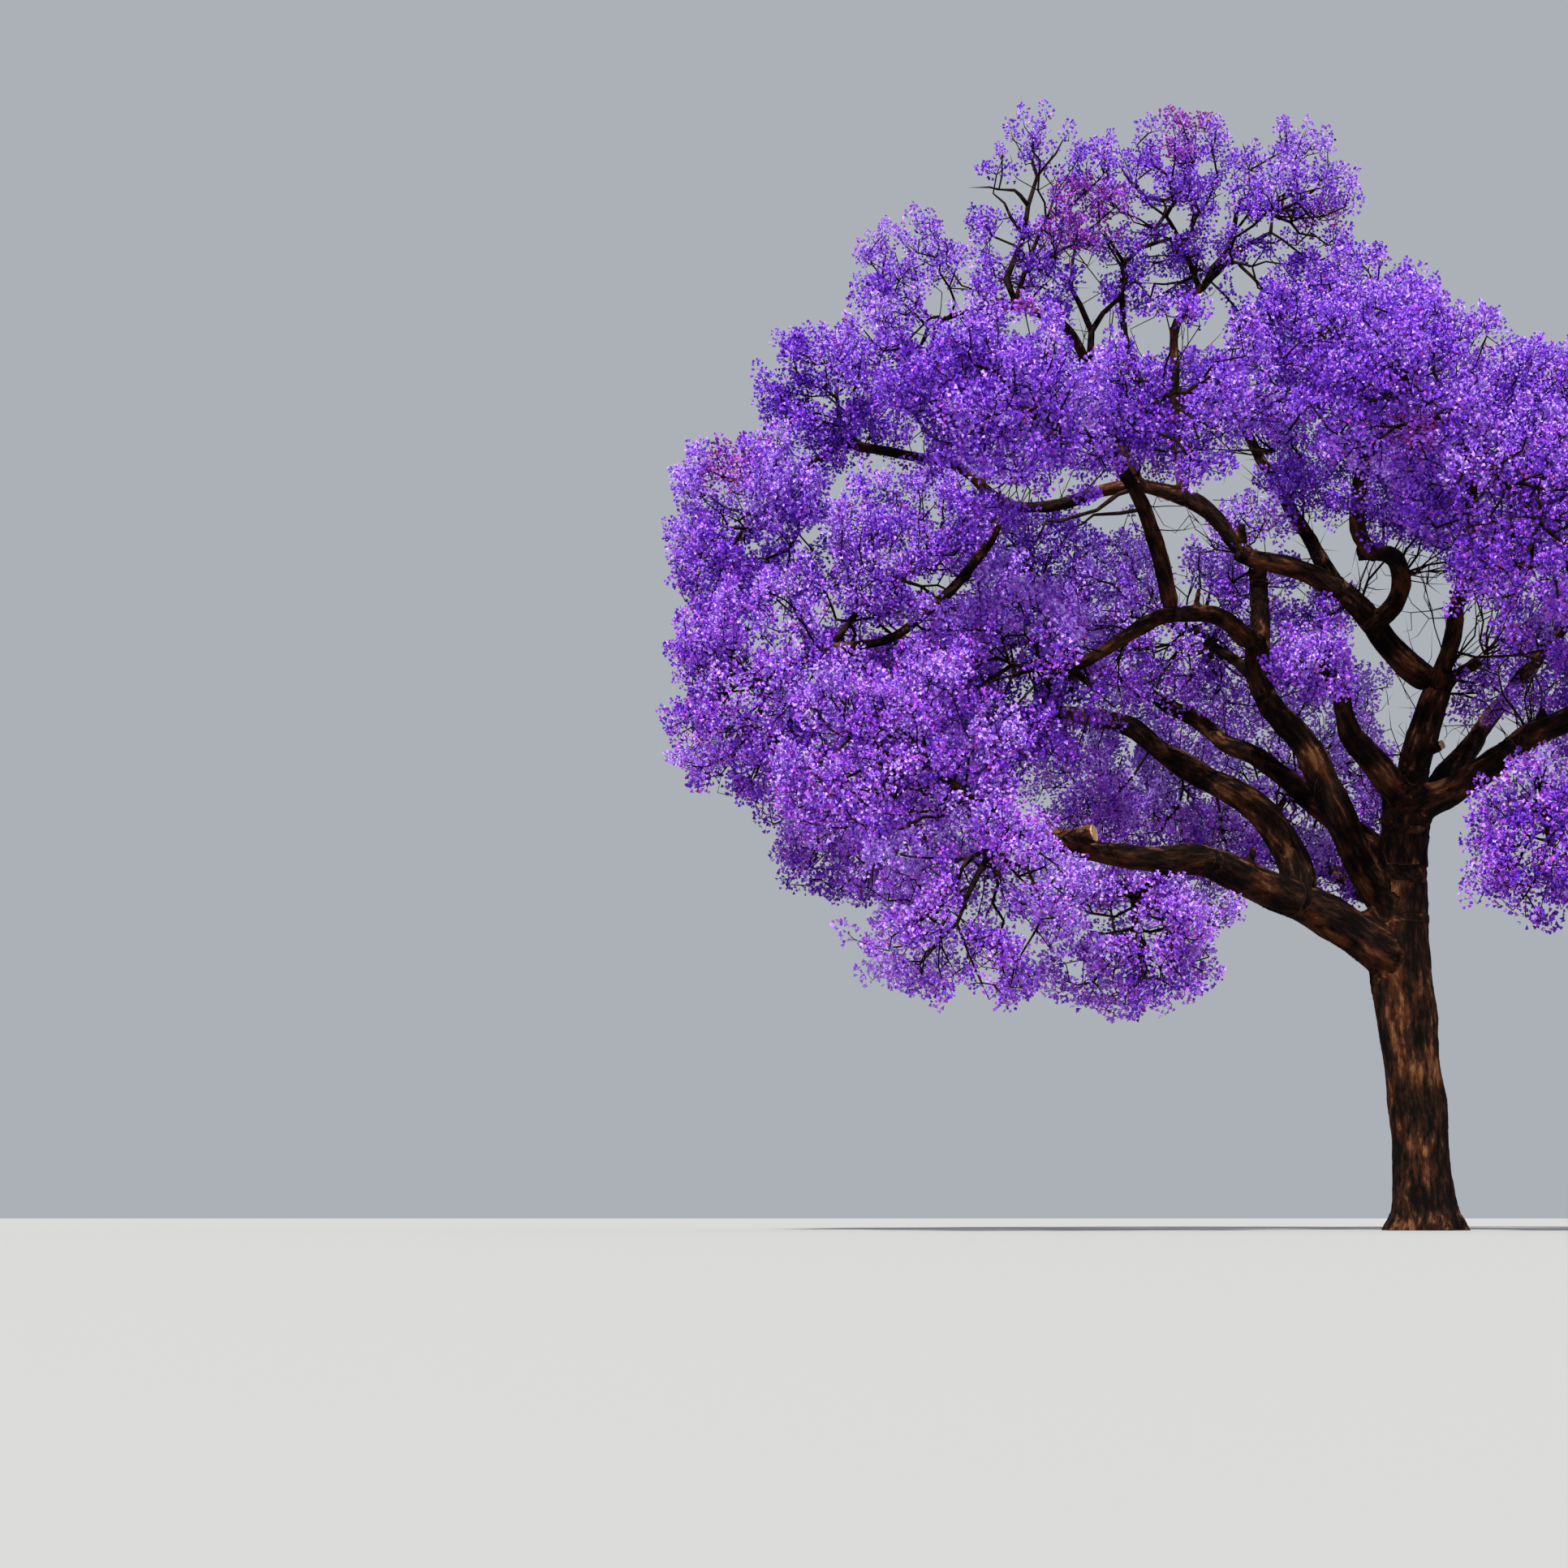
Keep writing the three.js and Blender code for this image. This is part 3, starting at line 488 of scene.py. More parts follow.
paths = {}
for name in limbs:
    paths[name] = swayed(name)


def addTube(points, radii):
    bpy.ops.curve.primitive_bezier_curve_add(location=(0, 0, 0))
    tube = bpy.context.object
    bpy.ops.object.mode_set(mode="EDIT")
    bpy.ops.curve.select_all(action="SELECT")
    bpy.ops.curve.subdivide(number_cuts=len(points) - 2)
    bpy.ops.object.mode_set(mode="OBJECT")
    knots = tube.data.splines[0].bezier_points
    for knot, point, radius in zip(knots, points, radii):
        knot.co = point
        knot.radius = radius
    for knot in knots:
        knot.handle_left_type = knot.handle_right_type = "AUTO"
    tube.data.bevel_depth = 1
    tube.data.bevel_resolution = 4
    tube.data.resolution_u = 3
    tube.data.use_fill_caps = True
    bpy.ops.object.convert(target="MESH")
    return bpy.context.object


def applyModifier(piece, kind, **settings):
    modifier = piece.modifiers.new(kind.title(), kind)
    for key, value in settings.items():
        setattr(modifier, key, value)
    bpy.ops.object.modifier_apply(modifier=modifier.name)


def joined(tubes, name):
    bpy.ops.object.select_all(action="DESELECT")
    for tube in tubes:
        tube.select_set(True)
    bpy.context.view_layer.objects.active = tubes[0]
    bpy.ops.object.join()
    piece = bpy.context.object
    piece.name = piece.data.name = name
    return piece


# Frames along each limb, from which a place on the bark is told: across, across and along
limbFrames = {"points": [], "axes": [], "along": [], "radius": []}
for name, (points, radii) in paths.items():
    tangents = np.gradient(points, axis=0)
    tangents /= np.linalg.norm(tangents, axis=1)[:, None]
    across = unit(np.cross(tangents[0], wood["aside"]))
    run = 0.0
    for i, tangent in enumerate(tangents):
        across = unit(across - tangent * (across @ tangent))
        run += np.linalg.norm(points[i] - points[i - 1]) if i else 0
        limbFrames["points"].append(points[i])
        limbFrames["axes"].append((across, np.cross(tangent, across), tangent))
        limbFrames["along"].append(run + len(name))
        limbFrames["radius"].append(radii[i])
limbTree = KDTree(len(limbFrames["points"]))
for i, point in enumerate(limbFrames["points"]):
    limbTree.insert(point, i)
limbTree.balance()


def carveBark(piece):
    mesh = piece.data
    count = len(mesh.vertices)
    points = np.empty(count * 3)
    normals = np.empty(count * 3)
    mesh.vertices.foreach_get("co", points)
    mesh.vertices.foreach_get("normal", normals)
    points, normals = points.reshape(-1, 3), normals.reshape(-1, 3)
    nearest = np.array([limbTree.find(point)[1] for point in points])
    offset = points - np.array(limbFrames["points"])[nearest]
    places = np.einsum("ijk,ik->ij", np.array(limbFrames["axes"])[nearest], offset)
    places[:, 2] += np.array(limbFrames["along"])[nearest]
    radii = np.array(limbFrames["radius"])[nearest]
    gap, length, lump = wood["furrowGap"], wood["furrowLength"], wood["lumpSize"]
    moved = np.empty(count)
    for i, ((x, y, z), radius) in enumerate(zip(places, radii)):
        furrow = noise.noise(Vector((x / gap, y / gap, z / length)))
        furrow = (1 - wood["furrowEdge"] * abs(furrow)) * wood["furrowDepth"]
        swell = noise.noise(Vector((x / lump, y / lump, z / lump / wood["lumpStretch"])))
        moved[i] = furrow * min(1, radius / wood["fullFurrow"]) + swell * wood["lumpDepth"] * radius
    points = points + normals * moved[:, None]
    mesh.vertices.foreach_set("co", points.ravel())
    barkPlace = mesh.attributes.new("barkPlace", "FLOAT_VECTOR", "POINT")
    barkPlace.data.foreach_set("vector", places.ravel())
    mesh.update()


# Sawn and broken stubs: the limb, how far along it, which way, how long and how thick
stubs = {
    "low_saw_cut": ("low_left", 0.88, (0.95, -0.45, 0.2), 0.4, 0.125),
    "low_snag": ("low_left", 0.42, (0.2, -0.5, 0.85), 0.22, 0.045),
    "inner_snag": ("inner_left", 0.93, (-0.8, -0.2, 0.5), 0.3, 0.06),
    "fork_saw_cut": ("upright", 0.35, (0.75, -0.6, 0.3), 0.2, 0.07),
    "hub_spur": ("upright", 0.93, (0.8, -0.5, 0.5), 0.5, 0.085),
    "hook_snag": ("hooked", 0.44, (-0.95, -0.1, -0.2), 0.1, 0.1),
    "bend_snag": ("great_left", 0.97, (-0.1, -0.3, 0.95), 0.3, 0.05),
    "arch_snag": ("level_left", 0.35, (0.1, -0.4, 0.9), 0.24, 0.035),
    "right_snag": ("right", 0.62, (0.2, -0.5, 0.8), 0.22, 0.05),
}
stubTaper = np.array((1.5, 1.15, 1, 1))

# The trunk's left side, where it widens towards its lowest bough, and a limb that rises behind the
# arched one: pixels across and down, depth and radius
extras = {
    "jacaranda_trunk": (
        (1746, 1440, 0, 0.3), (1738, 1370, 0, 0.28), (1730, 1310, 0, 0.27), (1722, 1260, 0, 0.27),
        (1715, 1215, 0, 0.27), (1704, 1170, -0.05, 0.24), (1678, 1125, -0.1, 0.18),
    ),
    "jacaranda_boughs": (
        (1549, 828, 0.1, 0.15), (1553, 785, 0.35, 0.14), (1552, 740, 0.45, 0.13),
        (1550, 701, 0.4, 0.12),
    ),
}


def stubLine(limb, at, toward, length):
    foot, around = placeOn(limb, at)
    return foot, foot + unit(np.array(toward)) * (around + length)


def limbPiece(names, label, voxel):
    tubes = []
    for limb, at, toward, length, radius in stubs.values():
        if limb in names:
            foot, end = stubLine(limb, at, toward, length)
            line = np.linspace(foot, end, len(stubTaper))
            tubes.append(addTube(line, radius * stubTaper))
    line = np.array([fromPhoto(*row[:3]) for row in extras[label]])
    tubes.append(addTube(line, np.array([row[3] for row in extras[label]])))
    for name in names:
        points, radii = paths[name]
        if name == "trunk":
            rise = points[1] - points[0]
            points = np.vstack((points[0] - rise / rise[2] * wood["belowGround"], points))
            radii = np.append(radii[0], radii)
        tube = addTube(points, radii)
        if name == "trunk":
            for vertex in tube.data.vertices:
                flare = math.exp(-max(vertex.co.z, 0) / trunk["flareHeight"])
                angle = math.atan2(vertex.co.y, vertex.co.x)
                lobe = 1 + trunk["lobeDepth"] * flare * math.cos(trunk["rootLobes"] * angle)
                vertex.co.x *= lobe
                vertex.co.y *= lobe
        tubes.append(tube)
    piece = joined(tubes, label)
    applyModifier(piece, "REMESH", mode="VOXEL", voxel_size=voxel)
    applyModifier(piece, "SMOOTH", factor=0.5, iterations=wood["smoothing"])
    carveBark(piece)
    if "trunk" in names:
        bpy.ops.object.mode_set(mode="EDIT")
        bpy.ops.mesh.select_all(action="SELECT")
        bpy.ops.mesh.bisect(plane_co=(0, 0, 0), plane_no=(0, 0, 1), clear_inner=True, use_fill=True)
        bpy.ops.object.mode_set(mode="OBJECT")
    bpy.ops.object.shade_smooth()
    return piece


cuts = {"share": 0.86, "sides": 24, "depth": 0.03, "rim": 0.1, "dish": 0.004, "heart": 0.35}


def addCuts():
    # pale sawn faces, a little outside the ends of the stubs that were cut: a raised rim round a
    # slightly dished face with a sunken heart
    discs = []
    for name, (limb, at, toward, length, radius) in stubs.items():
        if not name.endswith("saw_cut"):
            continue
        bpy.ops.mesh.primitive_cylinder_add(
            vertices=cuts["sides"], radius=radius * cuts["share"], depth=cuts["depth"])
        disc = bpy.context.object
        bpy.ops.object.mode_set(mode="EDIT")
        bpy.ops.mesh.select_mode(type="FACE")
        bpy.ops.mesh.select_all(action="DESELECT")
        bpy.ops.object.mode_set(mode="OBJECT")
        for face in disc.data.polygons:
            face.select = face.normal.z > 0.5
        bpy.ops.object.mode_set(mode="EDIT")
        for share in (cuts["rim"], cuts["heart"]):
            bpy.ops.mesh.inset(thickness=radius * share)
            bpy.ops.transform.translate(value=(0, 0, -cuts["dish"]))
        bpy.ops.object.mode_set(mode="OBJECT")
        disc.location = stubLine(limb, at, toward, length)[1]
        disc.rotation_euler = Vector(toward).to_track_quat("Z", "Y").to_euler()
        bpy.ops.object.transform_apply(location=True, rotation=True, scale=True)
        discs.append(disc)
    return joined(discs, "jacaranda_cuts")


fromTrunk = ["trunk", *[name for name, row in boughs.items() if row[0] == "trunk"]]
others = [name for name in boughs if name not in fromTrunk]
trunkPiece = limbPiece(fromTrunk, "jacaranda_trunk", wood["voxelTrunk"])
boughPiece = limbPiece(others, "jacaranda_boughs", wood["voxelBoughs"])
cutPiece = addCuts()
for piece in (trunkPiece, boughPiece):
    print(piece.name, len(piece.data.polygons) * 2, "triangles")

# Finer growth: panicles of blossom spread through each mass's space, drawn towards the sprays of
# the rule, each on a twig from the branching that is nearest by distance and way

growth = {
    "density": 150,  # panicles for each square metre of a mass's reach squared
    "skinSamples": 400, "nodesMost": 20000,
    "stemSteps": 8, "twigStep": 0.3, "twigStepsMost": 6, "leaderReach": 0.35,
    "inmost": 0.42, "outwards": 1.6,  # how far in panicles stand, and how much they crowd outwards
    "overlap": 0.25,  # how far panicles may reach into the next mass
    "boxRoom": 0.06, "skinRoom": 0.1,  # how far panicles stay inside the tree's own box
    "jitter": 0.5, "draw": 0.3, "limbRoom": 0.13, "wayWeight": 0.35,
    "sag": 0.1, "bend": 0.09, "wiggle": 0.35, "tipRadius": 0.0075, "sideStart": 1.15,
    "rosyShare": 0.04, "rosyBehind": 1.5,
    "stemShare": {1: 0.92, 2: 0.72, 3: 0.6},  # of the bough's end, by how many masses it carries
    # above these heights many twigs are bare, panicles small and the creases wider
    "thinFrom": 13.2, "thinShare": 0.16, "topScale": 0.85,
    "topFrom": 12, "topFade": 1.5, "topGap": 0.12, "topMore": 1.5,
    "clumpSize": 0.75, "clumpGap": -0.2,  # clumps of panicles, and the creases between them
    # how uneven a mass's outside is, as a share of its reach
    "edgeSize": 1.1, "edgeDepth": 0.12, "edgeFrom": 0.2, "edgeShare": 0.97, "edgeStep": 2,
}
panicle = {
    "length": 0.3, "width": 0.15, "florets": 28, "floretLength": 0.051, "mouth": 0.024,
    "rimTurn": 1.45, "variants": 8, "outward": 0.55, "upward": 0.5, "loose": 0.24, "stalk": 0.6,
    "scales": (0.8, 1.2), "turnJitter": 0.4, "fill": (0.25, 1), "closing": 0.5,
    "facing": (1.1, 0.6), "facingUp": 0.35, "facingLoose": 0.4, "aside": (0.3, -0.2, 0.93),
    "lengths": (0.8, 1.2), "mouths": (0.85, 1.2), "seed": 7,
}
# Lanes through the crown where the photo shows sky: pixels across and down, half width and height
lanes = {
    "upper_middle": (1417, 419, 23, 31), "upper_right": (1488, 413, 31, 21),
    "upper_left": (1258, 404, 25, 13), "over_arch": (1510, 599, 38, 21),
    "under_arch": (1456, 643, 38, 31), "under_bend": (1365, 641, 38, 21),
    "over_bend": (1324, 593, 41, 11), "shoulder_low": (1606, 533, 25, 29),
    "shoulder_edge": (1540, 558, 25, 21), "hub_left": (1639, 682, 25, 29),
    "hub_under": (1596, 734, 31, 15), "hook": (1689, 724, 18, 21), "hub_right": (1752, 722, 38, 52),
    "hub_low": (1722, 880, 26, 42), "tuft_fork": (1256, 240, 42, 28),
    "tuft_foot": (1237, 295, 13, 30), "tuft_right": (1296, 225, 10, 10),
    "top_fork": (1450, 270, 15, 24), "right_fork": (1562, 278, 34, 14),
    "notch_right": (1520, 148, 18, 24), "notch_left": (1385, 165, 17, 20),
    "twiggy": (1343, 335, 20, 26), "under_west": (1365, 392, 14, 14),
    "side_gap": (1532, 345, 26, 14), "small_fork": (1486, 205, 14, 12),
    "y_fork": (1345, 402, 32, 34), "lead_stem": (1448, 408, 13, 38),
    "far_limb": (1222, 600, 42, 13), "far_limb_right": (1288, 619, 40, 12),
    "fan": (1812, 772, 32, 34), "fall_upper": (1165, 722, 46, 18),
    "fall_lower": (1106, 774, 36, 13),
}
# Where the blossom is redder in the photo: pixels across and down, half width and height
puffs = {
    "middle": (1330, 262, 70, 42), "top": (1459, 160, 34, 32), "right": (1629, 270, 22, 18),
    "far": (894, 568, 34, 30), "inner": (1742, 526, 40, 24), "under": (1255, 365, 30, 14),
}
laneRooms = (0.85, 1.3)
boxLow = np.array(cadBounds[0]) + growth["boxRoom"]
boxHigh = np.array(cadBounds[1]) - growth["boxRoom"]
limbPoints = np.concatenate([points for points, radii in paths.values()])
limbRadii = np.concatenate([radii for points, radii in paths.values()])

# Masses whose blossom is paler or deeper than the rest, as the photo shows it. The paler ones,
# mostly at the back and below where the crown shades them, are painted light.
paintedLightLifts = {
    "back_low_left": 4, "back_low_right": 4, "inner_back": 3, "left_back": 1, "under_left": 1.5,
    "lower_left": 2.4, "left_front": 1.6, "falling_inner": 0.5, "band_middle": 0.6,
    "right_shoulder": -1, "top_left": -1.2, "top_middle": -1.2, "top_right": -1.2,
}

# Masses that are denser than the rest, where no sky shows through in the photo
fuller = {
    "far_side": 1.35, "falling_outer": 1.35, "falling_inner": 1.3, "left_front": 1.15,
    "left_back": 1.2, "left_middle": 1.15, "far_tuft": 1.2, "band_left": 1.15, "upper_left": 1.15,
}


def isSeenIn(ovals, place, room):
    across, down = toPhoto(place)
    return any(math.hypot((across - x) / w, (down - y) / h) < room for x, y, w, h in ovals.values())


def inPuff(place):
    return isSeenIn(puffs, place, 1)


def inLane(place, random):
    return isSeenIn(lanes, place, random.uniform(*laneRooms))


# Branches that show against the sky: pixels across and down and depth of each bend, by the mass
# that they carry, after the radii at foot and tip. One that begins away from the branching there
# has a foot of its own.
leaders = {
    "top_middle": (
        ((0.06, 0.008), (1440, 525, 0.45), (1412, 480, 0.5), (1395, 441, 0.5), (1386, 413, 0.5),
            (1384, 386, 0.5), (1382, 360, 0.5), (1385, 324, 0.55), (1405, 305, 0.6),
            (1424, 299, 0.6), (1423, 283, 0.6), (1434, 267, 0.6), (1437, 256, 0.6),
            (1434, 247, 0.6), (1455, 236, 0.6), (1466, 212, 0.6), (1468, 185, 0.6)),
        ((0.035, 0.006), (1434, 247, 0.6), (1411, 242, 0.5), (1394, 224, 0.5), (1387, 215, 0.5),
            (1372, 190, 0.4)),
        ((0.03, 0.008), (1424, 299, 0.6), (1445, 293, 0.8), (1459, 296, 0.8), (1480, 294, 0.9)),
        ((0.055, 0.01), (1343, 445, 0.4), (1345, 408, 0.4), (1331, 375, 0.4), (1320, 355, 0.3),
            (1322, 320, 0.2), (1330, 285, 0.2)),
        ((0.045, 0.012), (1345, 408, 0.4), (1359, 386, 0.4), (1378, 368, 0.45), (1390, 340, 0.3),
            (1365, 300, 0.2)),
        ((0.035, 0.008), (1385, 324, 0.55), (1368, 296, 0.4), (1350, 280, 0.3)),
    ),
    "top_left": (
        ((0.055, 0.006), (1250, 370, 0.35), (1240, 344, 0.3), (1250, 320, 0.3), (1262, 290, 0.3),
            (1267, 253, 0.3), (1274, 231, 0.3), (1278, 217, 0.3), (1289, 203, 0.3),
            (1301, 189, 0.3), (1310, 172, 0.3)),
        ((0.035, 0.005), (1267, 253, 0.3), (1257, 240, 0.2), (1250, 234, 0.2), (1231, 233, 0.1),
            (1219, 230, 0), (1192, 231, 0)),
        ((0.02, 0.005), (1240, 234, 0.15), (1235, 215, 0.2), (1235, 190, 0.2)),
        ((0.024, 0.005), (1278, 217, 0.3), (1273, 199, 0.4), (1262, 178, 0.4)),
        ((0.032, 0.006), (1262, 290, 0.3), (1246, 268, 0.4), (1238, 250, 0.5), (1224, 238, 0.5)),
    ),
    "top_right": (
        ((0.055, 0.006), (1482, 350, 0.6), (1495, 330, 0.5), (1511, 312, 0.5), (1520, 288, 0.4),
            (1525, 255, 0.4), (1529, 246, 0.4), (1541, 239, 0.4), (1539, 210, 0.4),
            (1545, 180, 0.4)),
        ((0.04, 0.006), (1525, 255, 0.4), (1555, 258, 0.3), (1579, 258, 0.3), (1600, 249, 0.3),
            (1622, 232, 0.3), (1634, 210, 0.3)),
        ((0.024, 0.006), (1579, 258, 0.3), (1590, 228, 0.5), (1597, 190, 0.6)),
        ((0.022, 0.006), (1600, 249, 0.3), (1612, 264, 0.2), (1628, 278, 0.2)),
        ((0.028, 0.006), (1511, 312, 0.5), (1540, 298, 0.6), (1571, 299, 0.6), (1590, 290, 0.6)),
        ((0.03, 0.006), (1495, 330, 0.5), (1520, 322, 0.3), (1543, 328, 0.2), (1560, 322, 0.2)),
    ),
    "left_middle": (
        ((0.04, 0.008), (1407, 599, 0.35), (1368, 616, 0.2), (1329, 635, 0), (1289, 642, -0.2),
            (1250, 665, -0.5)),
        ((0.035, 0.008), (1414, 626, -0.5), (1381, 632, -0.6), (1348, 634, -0.8), (1318, 650, -1)),
        ((0.035, 0.008), (1367, 799, -1.7), (1346, 812, -1.8), (1318, 822, -2), (1290, 850, -2)),
    ),
    "band_left": (
        ((0.04, 0.008), (1183, 574, 0.8), (1150, 540, 0.4), (1120, 500, 0), (1105, 465, -0.3)),
    ),
}


class Branching:
    # places, what each grows from and how far along the wood it is from its foot
    def __init__(self, foot):
        most = growth["nodesMost"]
        self.places, self.ways = np.zeros((most, 3)), np.zeros(most)
        self.least = np.zeros(most)  # the least radius, where a branch is given one
        self.parents, self.ends = [], []
        self.addFoot(foot)

    def nearest(self, place, wayWeight):
        count = len(self.parents)
        away = np.linalg.norm(self.places[:count] - place, axis=1)
        return int(np.argmin(away + wayWeight * self.ways[:count]))

    def addFoot(self, place):
        self.places[len(self.parents)] = place
        self.parents.append(-1)
        return len(self.parents) - 1

    def grow(self, parent, places):
        for place in places:
            node = len(self.parents)
            self.ways[node] = self.ways[parent] + np.linalg.norm(place - self.places[parent])
            self.places[node] = place
            self.parents.append(parent)
            parent = node
        return parent


def bentPath(start, end, random):
    # sags a little under its weight, turns up at its tip and bends to one side
    length = np.linalg.norm(end - start)
    steps = max(1, min(growth["twigStepsMost"], round(length / growth["twigStep"])))
    t = np.linspace(0, 1, steps + 1)[1:]
    aside = random.normal(size=3) * growth["bend"] * length
    aside[2] -= growth["sag"] * length
    wiggle = random.normal(size=(steps, 3)) * growth["bend"] * growth["wiggle"] * length
    swing = np.sin(np.pi * t)[:, None]
    return list(start + (end - start) * t[:, None] + (aside + wiggle) * swing)


def startTree(name, sprays, random):
    # the stem, the rule's twigs from it and the branches that show
    stem = stems[name]
    tree = Branching(pointOn(stem, 0))
    tree.grow(0, list(pointOn(stem, np.linspace(0, 1, growth["stemSteps"] + 1)[1:])))
    for spray in sprays:
        start = tree.nearest(spray["from"], 0)
        tree.grow(start, bentPath(tree.places[start], spray["tip"], random)[:-1])
    for leaderRadii, *bends in leaders.get(name, ()):
        track = [fromPhoto(*bend) for bend in bends]
        node = tree.nearest(track[0], 0)
        if np.linalg.norm(tree.places[node] - track[0]) > growth["leaderReach"]:
            node = tree.addFoot(track[0])
        for i, place in enumerate(track[1:]):
            first = len(tree.parents)
            node = tree.grow(node, bentPath(tree.places[node], place, random))
            tree.least[first:node + 1] = mix(*leaderRadii, (i + 1) / len(track))
        tree.ends.append(node)
    return tree


def growBranches(name, seed):
    space, sprays = grown[name]
    room = np.minimum(boxHigh - space["middle"], space["middle"] - boxLow) + growth["skinRoom"]
    space = {**space, "radii": np.minimum(space["radii"], room)}
    random = np.random.default_rng(seed)
    tree = startTree(name, sprays, random)
    samples = growth["skinSamples"]
    around = [spreadDirection(i, samples, i * goldenAngle) for i in range(samples)]
    furthest = max(reachOf(space, direction) for direction in around)
    count = round(round(growth["density"] * furthest ** 2) * fuller.get(name, 1))
    if space["middle"][2] > growth["thinFrom"]:
        count = round(count * growth["topMore"])
    roots, tips, widths = (
        np.array([spray[key] for spray in sprays]) for key in ("root", "tip", "width"))
    spans = tips - roots
    wanted = []
    tints = random.normal(size=len(sprays))
    rosy = random.random(len(sprays)) < growth["rosyShare"]
    for i in range(count):
        direction = spreadDirection(i, count, i * goldenAngle)
        direction = unit(direction + random.normal(size=3) * growth["jitter"] / math.sqrt(count))
        outness = 1 - (1 - growth["inmost"]) * random.random() ** growth["outwards"]
        edge = Vector((space["middle"] + direction * growth["edgeStep"]) / growth["edgeSize"])
        reach = reachOf(space, direction)
        if random.random() > (reach / furthest) ** 2:
            continue
        skin = skinDistance(space["radii"], direction)
        uneven = max(0, noise.noise(edge) + growth["edgeFrom"])
        skin *= growth["edgeShare"] - growth["edgeDepth"] * uneven
        reach = min(reach + growth["overlap"], skin)
        place = space["middle"] + direction * (reach * outness)
        along = np.einsum("ij,ij->i", place - roots, spans) / np.sum(spans ** 2, axis=1)
        feet = roots + spans * np.clip(along, 0, 1)[:, None]
        away = np.linalg.norm(place - feet, axis=1) - widths
        spray = int(np.argmin(away))
        if away[spray] > 0:
            place = mix(place, feet[spray], growth["draw"])
        if np.any(np.linalg.norm(limbPoints - place, axis=1) < limbRadii + growth["limbRoom"]):
            continue
        clump = noise.noise(Vector(place / growth["clumpSize"]))
        high = np.clip((place[2] - growth["topFrom"]) / growth["topFade"], 0, 1)
        if clump < growth["clumpGap"] + growth["topGap"] * high or inLane(place, random):
            continue
        outward = unit(place - mix(feet[spray], space["middle"], 0.5))
        axis = outward * panicle["outward"] + random.normal(size=3) * panicle["loose"]
        axis[2] += panicle["upward"]
        axis = unit(axis)
        scale = random.uniform(*panicle["scales"])
        scale *= growth["topScale"] if place[2] > growth["thinFrom"] else 1
        base = place - axis * panicle["length"] * scale / 2
        top = place + axis * panicle["length"] * scale / 2
        if np.any(np.minimum(base, top) < boxLow) or np.any(np.maximum(base, top) > boxHigh):
            continue
        if isInside(space, base, -growth["overlap"]) and isInside(space, top, -growth["overlap"]):
            up = (place - space["middle"])[2] / space["radii"][2]
            bare = place[2] > growth["thinFrom"] and random.random() < growth["thinShare"]
            wanted.append({"base": base, "axis": axis, "scale": scale, "out": outness, "up": up,
                "tintAndPaintedLight": tints[spray] + paintedLightLifts.get(name, 0), "bare": bare, "clump": clump,
                "rosy": inPuff(place) if place[1] < growth["rosyBehind"] else rosy[spray]})
    joinPanicles(tree, wanted, space["middle"], random)
    return tree, wanted


def joinPanicles(tree, wanted, middle, random):
    wanted.sort(key=lambda one: np.linalg.norm(one["base"] - middle))
    for one in wanted:
        start = tree.nearest(one["base"], growth["wayWeight"])
        end = tree.grow(start, bentPath(tree.places[start], one["base"], random))
        tip = one["base"] + one["axis"] * panicle["length"] * one["scale"] * panicle["stalk"]
        one["node"] = tree.grow(end, [tip])


def thicknesses(tree, wanted, footRadius):
    load = np.zeros(len(tree.parents))
    for one in wanted:
        load[one["node"]] += 1
    load[tree.ends] += 1
    total = load.sum()
    for i in range(len(load) - 1, 0, -1):
        if tree.parents[i] >= 0:
            load[tree.parents[i]] += load[i]
    power = math.log(footRadius / growth["tipRadius"]) / math.log(max(total, 2))
    radii = growth["tipRadius"] * np.maximum(load, 1) ** power
    return load, np.maximum(radii, tree.least[:len(load)])


def chainsOf(tree, load, radii):
    # each branch goes on through its stoutest fork, and the others start from its middle line
    children = [[] for parent in tree.parents]
    starts, chains = [], []
    for i, parent in enumerate(tree.parents):
        if load[i] > 0 and parent < 0:
            starts.append((i, i))
        elif load[i] > 0:
            children[parent].append(i)
    while starts:
        parent, node = starts.pop()
        chain = [parent] if parent != node else []
        while True:
            chain.append(node)
            ahead = sorted(children[node], key=lambda i: -load[i])
            if not ahead:
                break
            starts += [(node, other) for other in ahead[1:]]
            node = ahead[0]
        if len(chain) > 1:
            thick = radii[chain].copy()
            if chain[0] != 0:
                thick[0] = thick[1] * growth["sideStart"]
            chains.append((np.array([tree.places[i] for i in chain]), thick))
    return chains


# The radius from which a tube has so many sides
tubeSides = {"stout": (0.035, 7), "branch": (0.016, 5), "twig": (0, 3)}


def tubeArrays(points, radii):
    # a tube round a line, closed at both ends, with fewer sides the thinner it is
    sides = next(count for least, count in tubeSides.values() if radii[0] > least)
    tangents = np.gradient(points, axis=0)
    tangents /= np.maximum(np.linalg.norm(tangents, axis=1), 1e-9)[:, None]
    least = np.eye(3)[np.argmin(np.abs(tangents.mean(axis=0)))]
    across = np.cross(tangents, least)
    across /= np.linalg.norm(across, axis=1)[:, None]
    beside = np.cross(tangents, across)
    turns = np.arange(sides) * 2 * math.pi / sides
    rings = across[:, None] * np.cos(turns)[None, :, None]
    rings = rings + beside[:, None] * np.sin(turns)[None, :, None]
    corners = points[:-1, None] + rings[:-1] * radii[:-1, None, None]
    corners = np.vstack((corners.reshape(-1, 3), points[-1:]))
    faces = []
    count = len(points) - 1
    for ring in range(count - 1):
        for side in range(sides):
            a, b = ring * sides + side, ring * sides + (side + 1) % sides
            faces += [(a, b, b + sides), (a, b + sides, a + sides)]
    last = (count - 1) * sides
    faces += [(last + side, last + (side + 1) % sides, count * sides) for side in range(sides)]
    faces += [(0, side + 1, side) for side in range(1, sides - 1)]
    return corners, np.array(faces)


